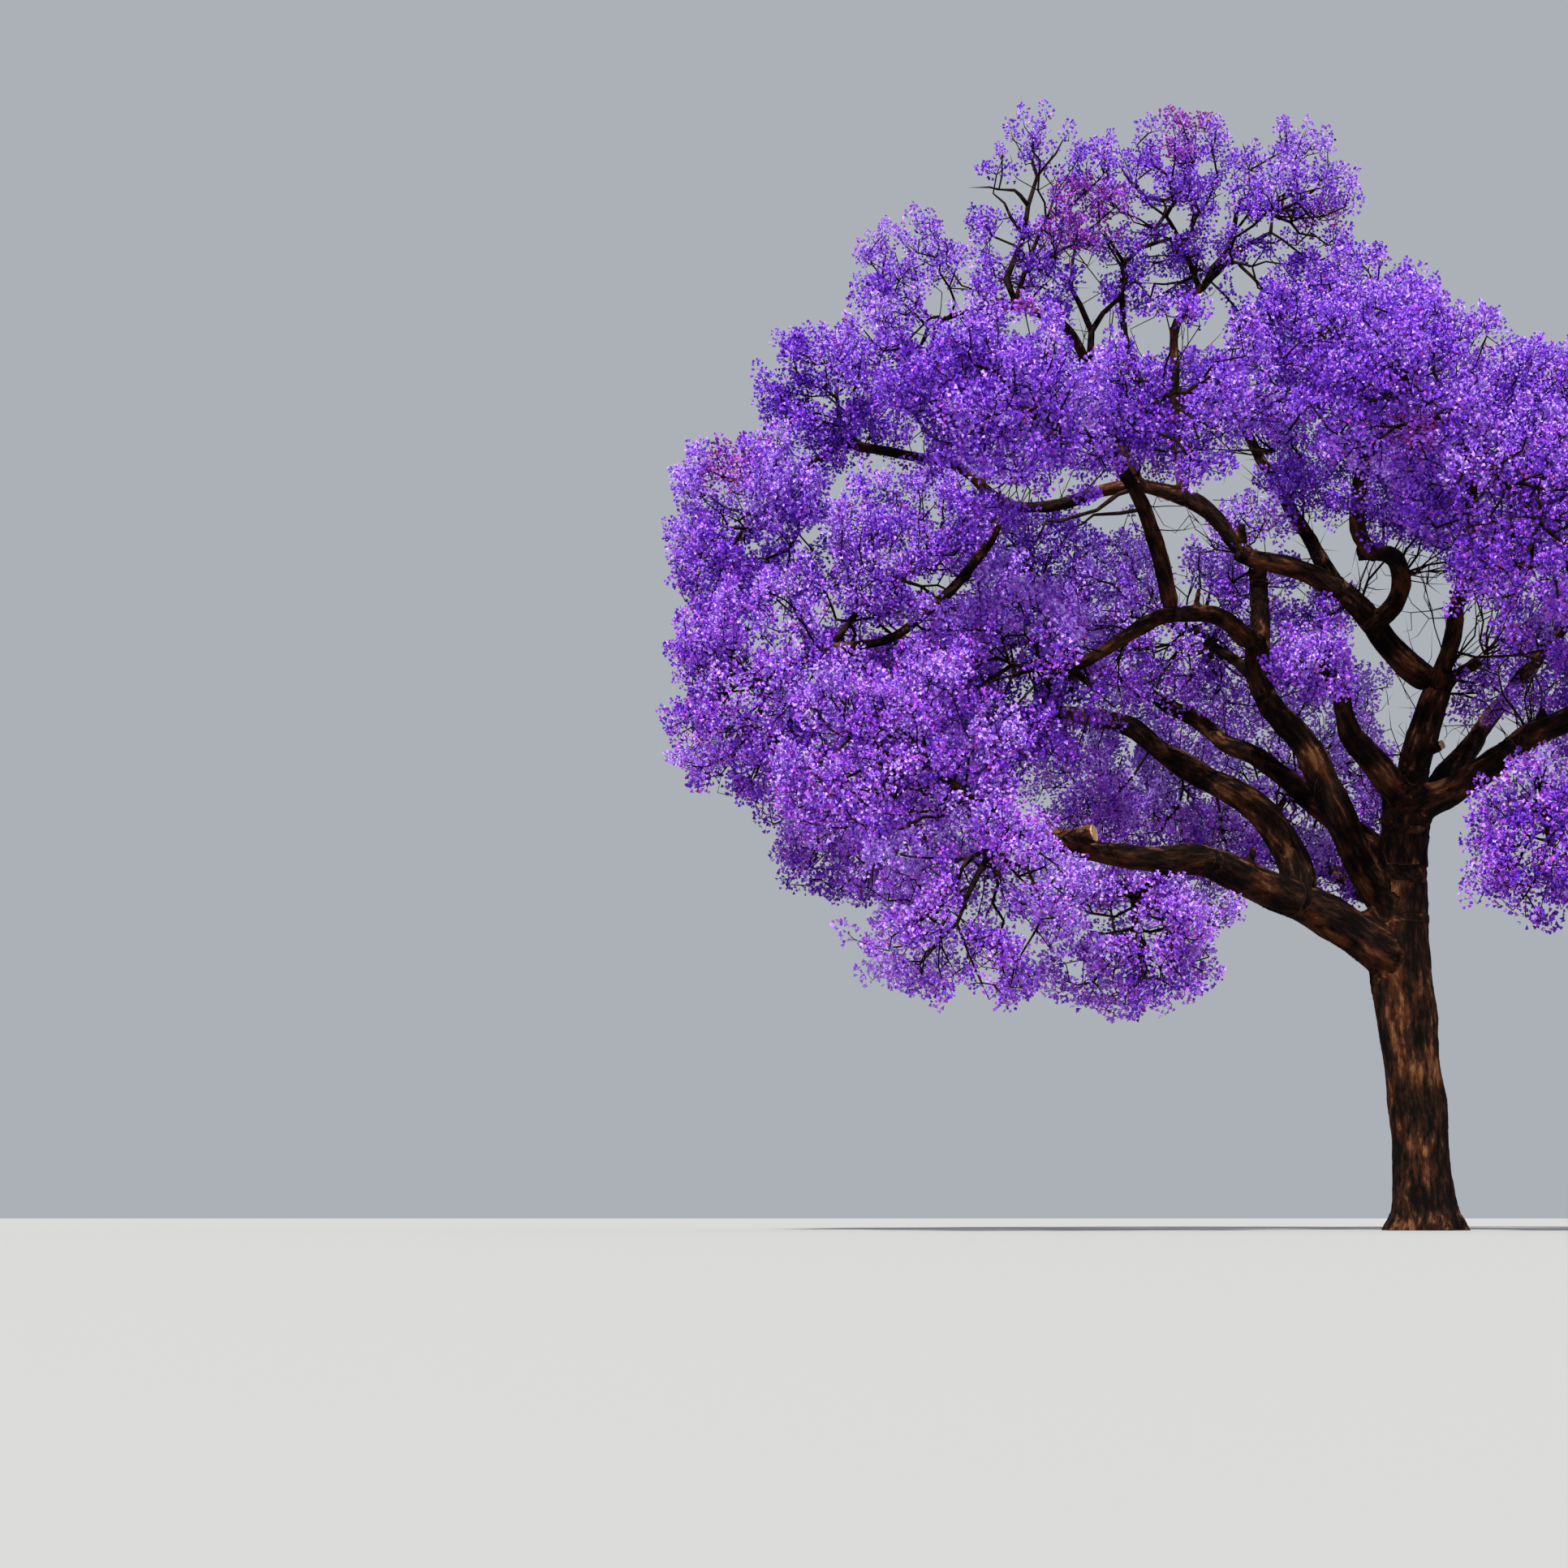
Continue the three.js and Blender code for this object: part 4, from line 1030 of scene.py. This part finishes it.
branchTubes, twigTubes, panicles = [], [], []

# Bare shoots that stand up from the boughs, each with a few forks, and fans of them where the
# photo shows many: where in the photo, how deep, how many, which way and how long
shoots = {
    "gap": 0.5, "length": (0.35, 1.1), "radius": 0.011, "taper": (1, 0.4),
    "stand": (0.2, 0.97), "upward": 0.8, "loose": 0.55,
    "forks": 3, "forkShare": 0.5, "forkLoose": 0.7, "forkTaper": (0.6, 0.35),
    "fanLoose": 0.35, "fanScales": (1, 2), "seed": 11,
}
fans = {
    "hub": (1782, 834, 0.1, 9, (0.5, -0.2, 1), (1, 2.2)),
    "hub_end": (1830, 806, -0.4, 7, (0.4, -0.1, 1), (0.9, 1.8)),
    "hook": (1731, 706, -0.2, 6, (0.8, -0.1, 0.5), (0.8, 1.6)),
    "lead": (1571, 556, 0.5, 6, (-0.5, -0.2, 0.5), (0.6, 1.4)),
    "great": (1676, 745, 0.3, 5, (-0.1, -0.2, 1), (0.7, 1.5)),
    "bend": (1524, 681, 0.2, 4, (-0.2, -0.2, 1), (0.6, 1.2)),
    "arch": (1399, 595, 0.4, 5, (0, -0.1, 1), (0.7, 1.5)),
    "right": (1884, 905, -0.8, 5, (-0.1, -0.1, 1), (0.7, 1.3)),
    "level": (1396, 779, -1.6, 5, (-0.8, -0.3, -0.2), (0.7, 1.4)),
}


def addShoot(foot, direction, length, radius, random):
    line = np.array([foot, *bentPath(foot, foot + direction * length, random)])
    twigTubes.append(tubeArrays(line, np.linspace(*shoots["taper"], len(line)) * radius))
    for fork in range(shoots["forks"]):
        start = line[random.integers(1, len(line))]
        aside = unit(direction + random.normal(size=3) * shoots["forkLoose"])
        aside = aside * length * shoots["forkShare"]
        branch = np.array([start, *bentPath(start, start + aside, random)])
        taper = np.linspace(*shoots["forkTaper"], len(branch))
        twigTubes.append(tubeArrays(branch, taper * radius))


random = np.random.default_rng(shoots["seed"])
for name in boughs:
    points, radii = paths[name]
    for i in range(round(lengthOf(limbs[name]) / shoots["gap"])):
        at = random.uniform(*shoots["stand"]) * (len(points) - 1)
        direction = random.normal(size=3) * shoots["loose"]
        direction[2] += shoots["upward"]
        length = radii[int(at)] + random.uniform(*shoots["length"])
        foot = mix(points[int(at)], points[int(at) + 1], at % 1)
        addShoot(foot, unit(direction), length, shoots["radius"], random)
for across, down, depth, count, toward, lengths in fans.values():
    foot = fromPhoto(across, down, depth)
    for i in range(count):
        direction = unit(unit(np.array(toward)) + random.normal(size=3) * shoots["fanLoose"])
        length, scale = random.uniform(*lengths), random.uniform(*shoots["fanScales"])
        addShoot(foot, direction, length, shoots["radius"] * scale, random)


def addBranches(tree, wanted, footRadius):
    load, radii = thicknesses(tree, wanted, footRadius)
    for points, thick in chainsOf(tree, load, radii):
        tube = tubeArrays(points, thick)
        (branchTubes if thick[0] > tubeSides["branch"][0] else twigTubes).append(tube)
    panicles.extend(wanted)


for index, name in enumerate(masses):
    tree, wanted = growBranches(name, index + 1)
    bough = masses[name][0]
    sharing = sum(row[0] == bough for row in masses.values())
    addBranches(tree, wanted, limbs[bough]["radii"][1] * growth["stemShare"][sharing])

# Small tufts among the bare limbs, each on a shoot from the nearest limb: where in the photo, how
# deep and how big
tufts = {
    "over_arch": (1551, 652, 0.3, 0.38), "between": (1607, 612, 0.6, 0.42),
    "hook_top": (1719, 585, -0.6, 0.4), "under_great": (1626, 764, 0.6, 0.42),
    "inner_top": (1612, 830, 0.4, 0.45), "hub_right": (1830, 865, 0.4, 0.48),
    "spur": (1897, 802, 0, 0.42), "arch_left": (1519, 717, 0.8, 0.32),
    "over_hub": (1589, 545, 0.8, 0.45), "hook_front": (1672, 640, -1.6, 0.34),
    "hook_over": (1702, 622, -0.5, 0.38), "hook_right": (1752, 640, -0.2, 0.38),
    "mid_right": (1700, 1010, 1.2, 0.45), "low_gap": (1640, 1080, 1.4, 0.5),
    "low_back_a": (1345, 1005, 1.4, 0.6), "low_back_b": (1430, 1015, 1.6, 0.6),
    "low_back_c": (1510, 1035, 1.5, 0.55), "low_back_d": (1575, 1065, 1.3, 0.5),
}
# The tufts' blossom is made paler as painted light, for the shade among the limbs.
tuftLook = {
    "density": 150, "footRadius": 0.02, "inmost": 0.35, "tintAndPaintedLight": 1.3, "scales": (0.8, 1.1),
    "seed": 100,
}
for index, (across, down, depth, size) in enumerate(tufts.values()):
    random = np.random.default_rng(index + tuftLook["seed"])
    middle = fromPhoto(across, down, depth)
    foot = limbPoints[np.argmin(np.linalg.norm(limbPoints - middle, axis=1) - limbRadii)]
    tree = Branching(foot)
    tree.grow(0, bentPath(foot, middle, random))
    wanted = []
    for i in range(round(tuftLook["density"] * size ** 2)):
        outward, outness = unit(random.normal(size=3)), random.uniform(tuftLook["inmost"], 1)
        base = middle + outward * size * outness
        axis = unit(outward * panicle["outward"] + np.array((0, 0, panicle["upward"])))
        clump = noise.noise(Vector(base / growth["clumpSize"]))
        wanted.append({
            "base": base, "axis": axis, "scale": random.uniform(*tuftLook["scales"]),
            "out": outness, "up": outward[2] * outness, "tintAndPaintedLight": tuftLook["tintAndPaintedLight"], "clump": clump,
            "rosy": False, "bare": False})
    joinPanicles(tree, wanted, middle, random)
    addBranches(tree, wanted, tuftLook["footRadius"])
print("panicles:", len(panicles))


def meshPiece(name, points, faces, material):
    mesh = bpy.data.meshes.new(name)
    mesh.vertices.add(len(points))
    mesh.vertices.foreach_set("co", np.ascontiguousarray(points, np.float32).ravel())
    mesh.loops.add(faces.size)
    mesh.loops.foreach_set("vertex_index", np.ascontiguousarray(faces, np.int32).ravel())
    mesh.polygons.add(len(faces))
    mesh.polygons.foreach_set("loop_start", np.arange(0, faces.size, 3, dtype=np.int32))
    mesh.update(calc_edges=True)
    mesh.validate()
    piece = bpy.data.objects.new(name, mesh)
    scene.collection.objects.link(piece)
    piece.data.materials.append(material)
    dress(piece, [f"blossom_{mass}" for mass in masses])
    return piece


def dress(piece, nodes):
    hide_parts(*nodes)
    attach(piece, "root")


# Materials

def colour(code):
    # from sRGB hex to linear
    parts = [int(code[i:i + 2], 16) / 255 for i in (1, 3, 5)]
    return (*[p / 12.92 if p <= 0.04045 else ((p + 0.055) / 1.055) ** 2.4 for p in parts], 1)


def newMaterial(name):
    material = bpy.data.materials.new(name)
    material.use_nodes = True
    return material


def addNode(material, kind, sockets=None, **settings):
    tree = material.node_tree
    node = tree.nodes.new(kind)
    for key, value in settings.items():
        setattr(node, key, value)
    for key, value in (sockets or {}).items():
        if isinstance(value, bpy.types.NodeSocket):
            tree.links.new(value, node.inputs[key])
        else:
            node.inputs[key].default_value = value
    return node


def finishShader(material, shown, look, bump=None):
    shader = material.node_tree.nodes["Principled BSDF"]
    material.node_tree.links.new(shown, shader.inputs["Base Color"])
    if bump:
        material.node_tree.links.new(bump.outputs[0], shader.inputs["Normal"])
    shader.inputs["Roughness"].default_value = look["roughness"]
    shader.inputs["Specular IOR Level"].default_value = look["specular"]
    return material


def twoTone(material, look, factor, bump=None):
    # a colour mix takes its factor on socket 0 and its two colours on 6 and 7
    tones = {0: factor, 6: colour(look["dark"]), 7: colour(look["light"])}
    shown = addNode(material, "ShaderNodeMix", tones, data_type="RGBA").outputs[2]
    return finishShader(material, shown, look, bump)


# The golden-brown is painted sunlight, a painted highlight on the upper sides of the limbs.
barkLook = {
    "dark": "#0c0705", "ridge": "#2e1b12", "rust": "#4a2715", "painted_highlight": "#80583a",
    "patch": 0.3, "furrow": 0.06, "furrowLength": 0.24, "patchLength": 0.62,
    "bump": 0.03, "roughness": 0.95, "specular": 0.06,
}


def barkMaterial():
    # Jacaranda bark: thin, dull, finely furrowed along the limb, almost black in its furrows, with
    # rusty patches where old scales have come off, and golden-brown painted sunlight on the upper
    # sides. Furrows are 60 mm apart, three times life, so that they show.
    bark = newMaterial("Jacaranda bark")
    place = addNode(bark, "ShaderNodeAttribute", attribute_name="barkPlace").outputs["Vector"]
    grain = {}
    for key, width, length, detail, roughness in (
        ("furrows", "furrow", "furrowLength", 5, 0.65), ("patches", "patch", "patchLength", 4, 0.6),
    ):
        scale = 1 / barkLook[width], 1 / barkLook[width], 1 / barkLook[length]
        spread = addNode(bark, "ShaderNodeMapping", {"Vector": place, "Scale": scale})
        grain[key] = addNode(bark, "ShaderNodeTexNoise", {
            "Vector": spread.outputs[0], "Scale": 1, "Detail": detail, "Roughness": roughness,
        }).outputs[0]
    both = addNode(bark, "ShaderNodeMath", {0: grain["furrows"], 1: grain["patches"]}).outputs[0]
    ridges = addNode(bark, "ShaderNodeMapRange", {
        "Value": both, "From Min": 0.88, "From Max": 1.12})
    rusty = addNode(bark, "ShaderNodeMapRange", {
        "Value": grain["patches"], "From Min": 0.5, "From Max": 0.62, "To Max": 0.85})
    # painted sunlight: on the upper sides of the limbs, where the normal faces up, the grain's high
    # spots turn golden-brown as a painted highlight
    facing = addNode(bark, "ShaderNodeNewGeometry").outputs["Normal"]
    above = addNode(bark, "ShaderNodeSeparateXYZ", {0: facing}).outputs["Z"]
    upwardGrain = addNode(
        bark, "ShaderNodeMath", {0: above, 1: 0.13, 2: both}, operation="MULTIPLY_ADD")
    highlightMask = addNode(bark, "ShaderNodeMapRange", {
        "Value": upwardGrain.outputs[0], "From Min": 1.11, "From Max": 1.32, "To Max": 0.75})
    shown = {key: colour(barkLook[key]) for key in ("dark", "ridge", "rust", "painted_highlight")}
    for factor, low, high, mixed in (
        (rusty, "ridge", "rust", "raised"), (ridges, "dark", "raised", "furrowed"),
        (highlightMask, "furrowed", "painted_highlight", "highlighted"),
    ):
        tones = {0: factor.outputs[0], 6: shown[low], 7: shown[high]}
        shown[mixed] = addNode(bark, "ShaderNodeMix", tones, data_type="RGBA").outputs[2]
    bump = addNode(bark, "ShaderNodeBump", {
        "Height": grain["furrows"], "Distance": barkLook["bump"], "Strength": 0.8})
    return finishShader(bark, shown["highlighted"], barkLook, bump)


twigLook = {
    "dark": "#0c0705", "light": "#33221a", "patch": 0.12, "grain": 0.05, "bump": 0.03,
    "roughness": 0.9, "specular": 0.08,
}


def twigMaterial():
    # Young jacaranda bark: smooth and dull, brown with paler breathing pores that run together.
    # Its patches are 120 mm and its grain 50 mm apart, coarser than life, so that they show.
    young = newMaterial("Young jacaranda bark")
    place = addNode(young, "ShaderNodeTexCoord").outputs["Object"]
    patches, grain = (
        addNode(young, "ShaderNodeTexNoise", {
            "Vector": place, "Scale": 1 / twigLook[key], "Detail": 4})
        for key in ("patch", "grain"))
    spread = addNode(young, "ShaderNodeMapRange", {
        "Value": patches.outputs[0], "From Min": 0.4, "From Max": 0.65})
    bump = addNode(young, "ShaderNodeBump", {
        "Height": grain.outputs[0], "Distance": twigLook["bump"], "Strength": 0.8})
    return twoTone(young, twigLook, spread.outputs[0], bump)


sawnLook = {
    "light": "#cda572", "dark": "#957650", "marks": 0.03, "bump": 0.004,
    "roughness": 0.85, "specular": 0.5,
    "bandScale": 0.314,  # the wave texture's scale for bands a metre apart
}


def cutMaterial():
    # Sawn jacaranda wood: dull and straw-coloured, gone grey along the marks of the saw. They are
    # 30 mm apart, five times life, so that they show.
    sawn = newMaterial("Sawn jacaranda wood")
    place = addNode(sawn, "ShaderNodeTexCoord").outputs["Object"]
    marks = addNode(sawn, "ShaderNodeTexWave", {
        "Vector": place, "Scale": sawnLook["bandScale"] / sawnLook["marks"],
        "Distortion": 3, "Detail": 3, "Detail Scale": 4,
    }, bands_direction="DIAGONAL").outputs[1]
    bump = addNode(sawn, "ShaderNodeBump", {"Height": marks, "Distance": sawnLook["bump"]})
    return twoTone(sawn, sawnLook, marks, bump)


# Petals: soft, thin and matte. Each kind is one plain colour with a faint mottling, and the kinds
# are dealt out by panicle: pale and lilac where the light comes and violet and deep violet inside,
# painted light and painted shade.

petalKinds = {
    "lilac": {"light": "#a862f6", "dark": "#9450ec", "slot": "blossom_lilac"},
    "violet": {"light": "#7f3cdc", "dark": "#6c30c8", "slot": "blossom_violet"},
    "pale": {"light": "#cfa2ff", "dark": "#bb88fa", "slot": "blossom_pale"},
    "deep": {"light": "#5a229c", "dark": "#481884", "slot": "blossom_violet"},
    "orchid": {"light": "#ba5de8", "dark": "#a54bd8", "slot": "blossom_lilac"},
    "rose": {"light": "#b046aa", "dark": "#8e347f", "slot": "blossom_pale"},
}
petalLook = {"roughness": 0.8, "specular": 0.1, "mottle": 0.09}


def petalMaterial(kind):
    petals = newMaterial(f"Jacaranda petals {kind}")
    place = addNode(petals, "ShaderNodeTexCoord").outputs["Object"]
    mottle = addNode(petals, "ShaderNodeTexNoise", {
        "Vector": place, "Scale": 1 / petalLook["mottle"], "Detail": 2})
    spread = addNode(petals, "ShaderNodeMapRange", {
        "Value": mottle.outputs[0], "From Min": 0.4, "From Max": 0.6})
    return twoTone(petals, {**petalLook, **petalKinds[kind]}, spread.outputs[0])


def panicleShape(random):
    # florets are open trumpets that point out and up all round a cone: a foot and four rim corners,
    # in three faces, open on one side
    florets = []
    count = panicle["florets"]
    for i in range(count):
        height = (i + 0.5) / count
        angle = i * goldenAngle + random.uniform(-panicle["turnJitter"], panicle["turnJitter"])
        outward = np.array((math.cos(angle), math.sin(angle), 0))
        width = panicle["width"] * (1 - height) ** panicle["closing"]
        width *= random.uniform(*panicle["fill"])
        foot = outward * width + np.array((0, 0, height * panicle["length"]))
        level, rise = panicle["facing"]
        facing = outward * (level - rise * height) + (0, 0, panicle["facingUp"])
        facing = unit(facing + random.normal(size=3) * panicle["facingLoose"])
        side = unit(np.cross(facing, panicle["aside"]))
        beside = np.cross(facing, side)
        length = panicle["floretLength"] * random.uniform(*panicle["lengths"])
        mouth = panicle["mouth"] * random.uniform(*panicle["mouths"])
        turns = np.arange(4) * panicle["rimTurn"] + random.uniform(0, 2 * math.pi)
        rim = np.cos(turns)[:, None] * side + np.sin(turns)[:, None] * beside
        florets.append([foot, *(foot + facing * length + mouth * rim)])
    return np.array(florets)


# A floret is paler the further out, the higher in its mass and the fuller its clump: painted light
# on the outsides and tops, and painted shade inside, underneath and in the creases between clumps.
# Lower down more of the lilac ones turn to orchid, and in the puffs many turn to orchid or rose.
tones = {"least": 0.28, "out": 0.3, "up": 0.18, "tintAndPaintedLight": 0.07, "clump": 0.42, "spread": 0.2}
toneSteps = {"pale": 0.72, "lilac": 0.45, "violet": 0.2}
orchid = {"below": 11.5, "fade": 6, "least": 0.15, "most": 0.8, "puffs": 0.5}
roseShares = {True: 0.32, False: 0.02}


def chooseKinds(one, random):
    tone = tones["least"]
    for key in ("out", "up", "tintAndPaintedLight", "clump"):
        tone += tones[key] * one[key]
    tone = tone + random.normal(size=panicle["florets"]) * tones["spread"]
    steps = [tone > step for step in toneSteps.values()]
    kinds = np.select(steps, list(toneSteps), "deep").astype("<U6")
    warmth = (orchid["below"] - one["base"][2]) / orchid["fade"]
    warmth = np.clip(warmth, orchid["least"], orchid["most"])
    kinds[(kinds == "lilac") & (random.random(len(kinds)) < warmth)] = "orchid"
    if one["rosy"]:
        kinds[(kinds != "deep") & (random.random(len(kinds)) < orchid["puffs"])] = "orchid"
    kinds[random.random(len(kinds)) < roseShares[bool(one["rosy"])]] = "rose"
    return kinds


random = np.random.default_rng(panicle["seed"])
shapes = [panicleShape(random) for variant in range(panicle["variants"])]
florets = {kind: [] for kind in petalKinds}
for one in panicles:
    if one["bare"]:
        continue
    axis = one["axis"]
    side = unit(np.cross(axis, unit(random.normal(size=3))))
    turn = np.stack((side, np.cross(axis, side), axis))
    placed = one["base"] + shapes[random.integers(len(shapes))] @ turn * one["scale"]
    kinds = chooseKinds(one, random)
    for kind in florets:
        florets[kind].append(placed[kinds == kind])


bark, young = barkMaterial(), twigMaterial()
for piece in (trunkPiece, boughPiece):
    piece.data.materials.clear()
    piece.data.materials.append(bark)
cutPiece.data.materials.append(cutMaterial())
dress(cutPiece, ["bough_low_left", "bough_upright"])
dress(trunkPiece, ["trunk", *[f"bough_{name}" for name in fromTrunk[1:]]])
dress(boughPiece, [f"bough_{name}" for name in others])


def joinedTubes(tubes):
    corners, faces, start = [], [], 0
    for tubeCorners, tubeFaces in tubes:
        corners.append(tubeCorners)
        faces.append(tubeFaces + start)
        start += len(tubeCorners)
    return np.concatenate(corners), np.concatenate(faces)


for label, tubes in (("branches", branchTubes), ("twigs", twigTubes)):
    corners, faces = joinedTubes(tubes)
    meshPiece(f"jacaranda_{label}", corners, faces, young)
    print(label, len(faces), "triangles")

# Each kind of floret in pieces of fewer triangles than the limit
triangleLimit = 190000
floretFaces, floretCorners = np.array([(0, 1, 2), (0, 2, 3), (0, 3, 4)]), 5
total = 0
for kind, row in petalKinds.items():
    material = petalMaterial(kind)
    most = triangleLimit // len(floretFaces)
    ones = np.concatenate(florets[kind])
    parts = math.ceil(len(ones) / most)
    for part, some in enumerate(np.array_split(ones, parts)):
        faces = floretFaces[None] + floretCorners * np.arange(len(some))[:, None, None]
        name, slot = f"jacaranda_{kind}_{part + 1}", row["slot"]
        meshPiece(name, some.reshape(-1, 3), faces.reshape(-1, 3), material)
    total += len(ones) * len(floretFaces)
    print(kind, len(ones), "florets in", parts, "pieces")
print("blossom triangles:", total)

# Stage: a pale floor, a soft key light from high in front and an even fill

stage = {
    "floor": 160, "floorColour": "#aaa9a5", "floorRoughness": 0.9,
    "sky": "#dfe5ee", "skyStrength": 0.56,
    "keyStrength": 5.4, "keyAngle": 4, "keyFrom": (-0.25, -0.8, 1.05), "keyHeight": 30,
}
bpy.ops.mesh.primitive_plane_add(size=stage["floor"] * 2, location=(0, 0, 0))
floor = bpy.context.object
floor.name = "floor"
floorMaterial = newMaterial("Matte studio floor")
floorShader = floorMaterial.node_tree.nodes["Principled BSDF"]
floorShader.inputs["Base Color"].default_value = colour(stage["floorColour"])
floorShader.inputs["Roughness"].default_value = stage["floorRoughness"]
floor.data.materials.append(floorMaterial)

bpy.ops.object.light_add(type="SUN", location=(0, 0, stage["keyHeight"]))
key = bpy.context.object
key.name = "key"
key.data.energy = stage["keyStrength"]
key.data.angle = math.radians(stage["keyAngle"])
key.rotation_euler = Vector(stage["keyFrom"]).to_track_quat("Z", "Y").to_euler()

world = bpy.data.worlds.new("studio")
scene.world = world
world.use_nodes = True
backdrop = world.node_tree.nodes["Background"]
backdrop.inputs["Color"].default_value = colour(stage["sky"])
backdrop.inputs["Strength"].default_value = stage["skyStrength"]
scene.view_settings.view_transform = "Standard"

# Camera: the photo's place and angle
view = {"lens": 71.1, "sensor": 36, "clipEnd": 500}
bpy.ops.object.camera_add(location=viewer, rotation=(math.pi / 2 + sight["pitch"], 0, 0))
camera = bpy.context.object
camera.data.lens = view["lens"]
camera.data.sensor_width = view["sensor"]
camera.data.clip_end = view["clipEnd"]
scene.camera = camera
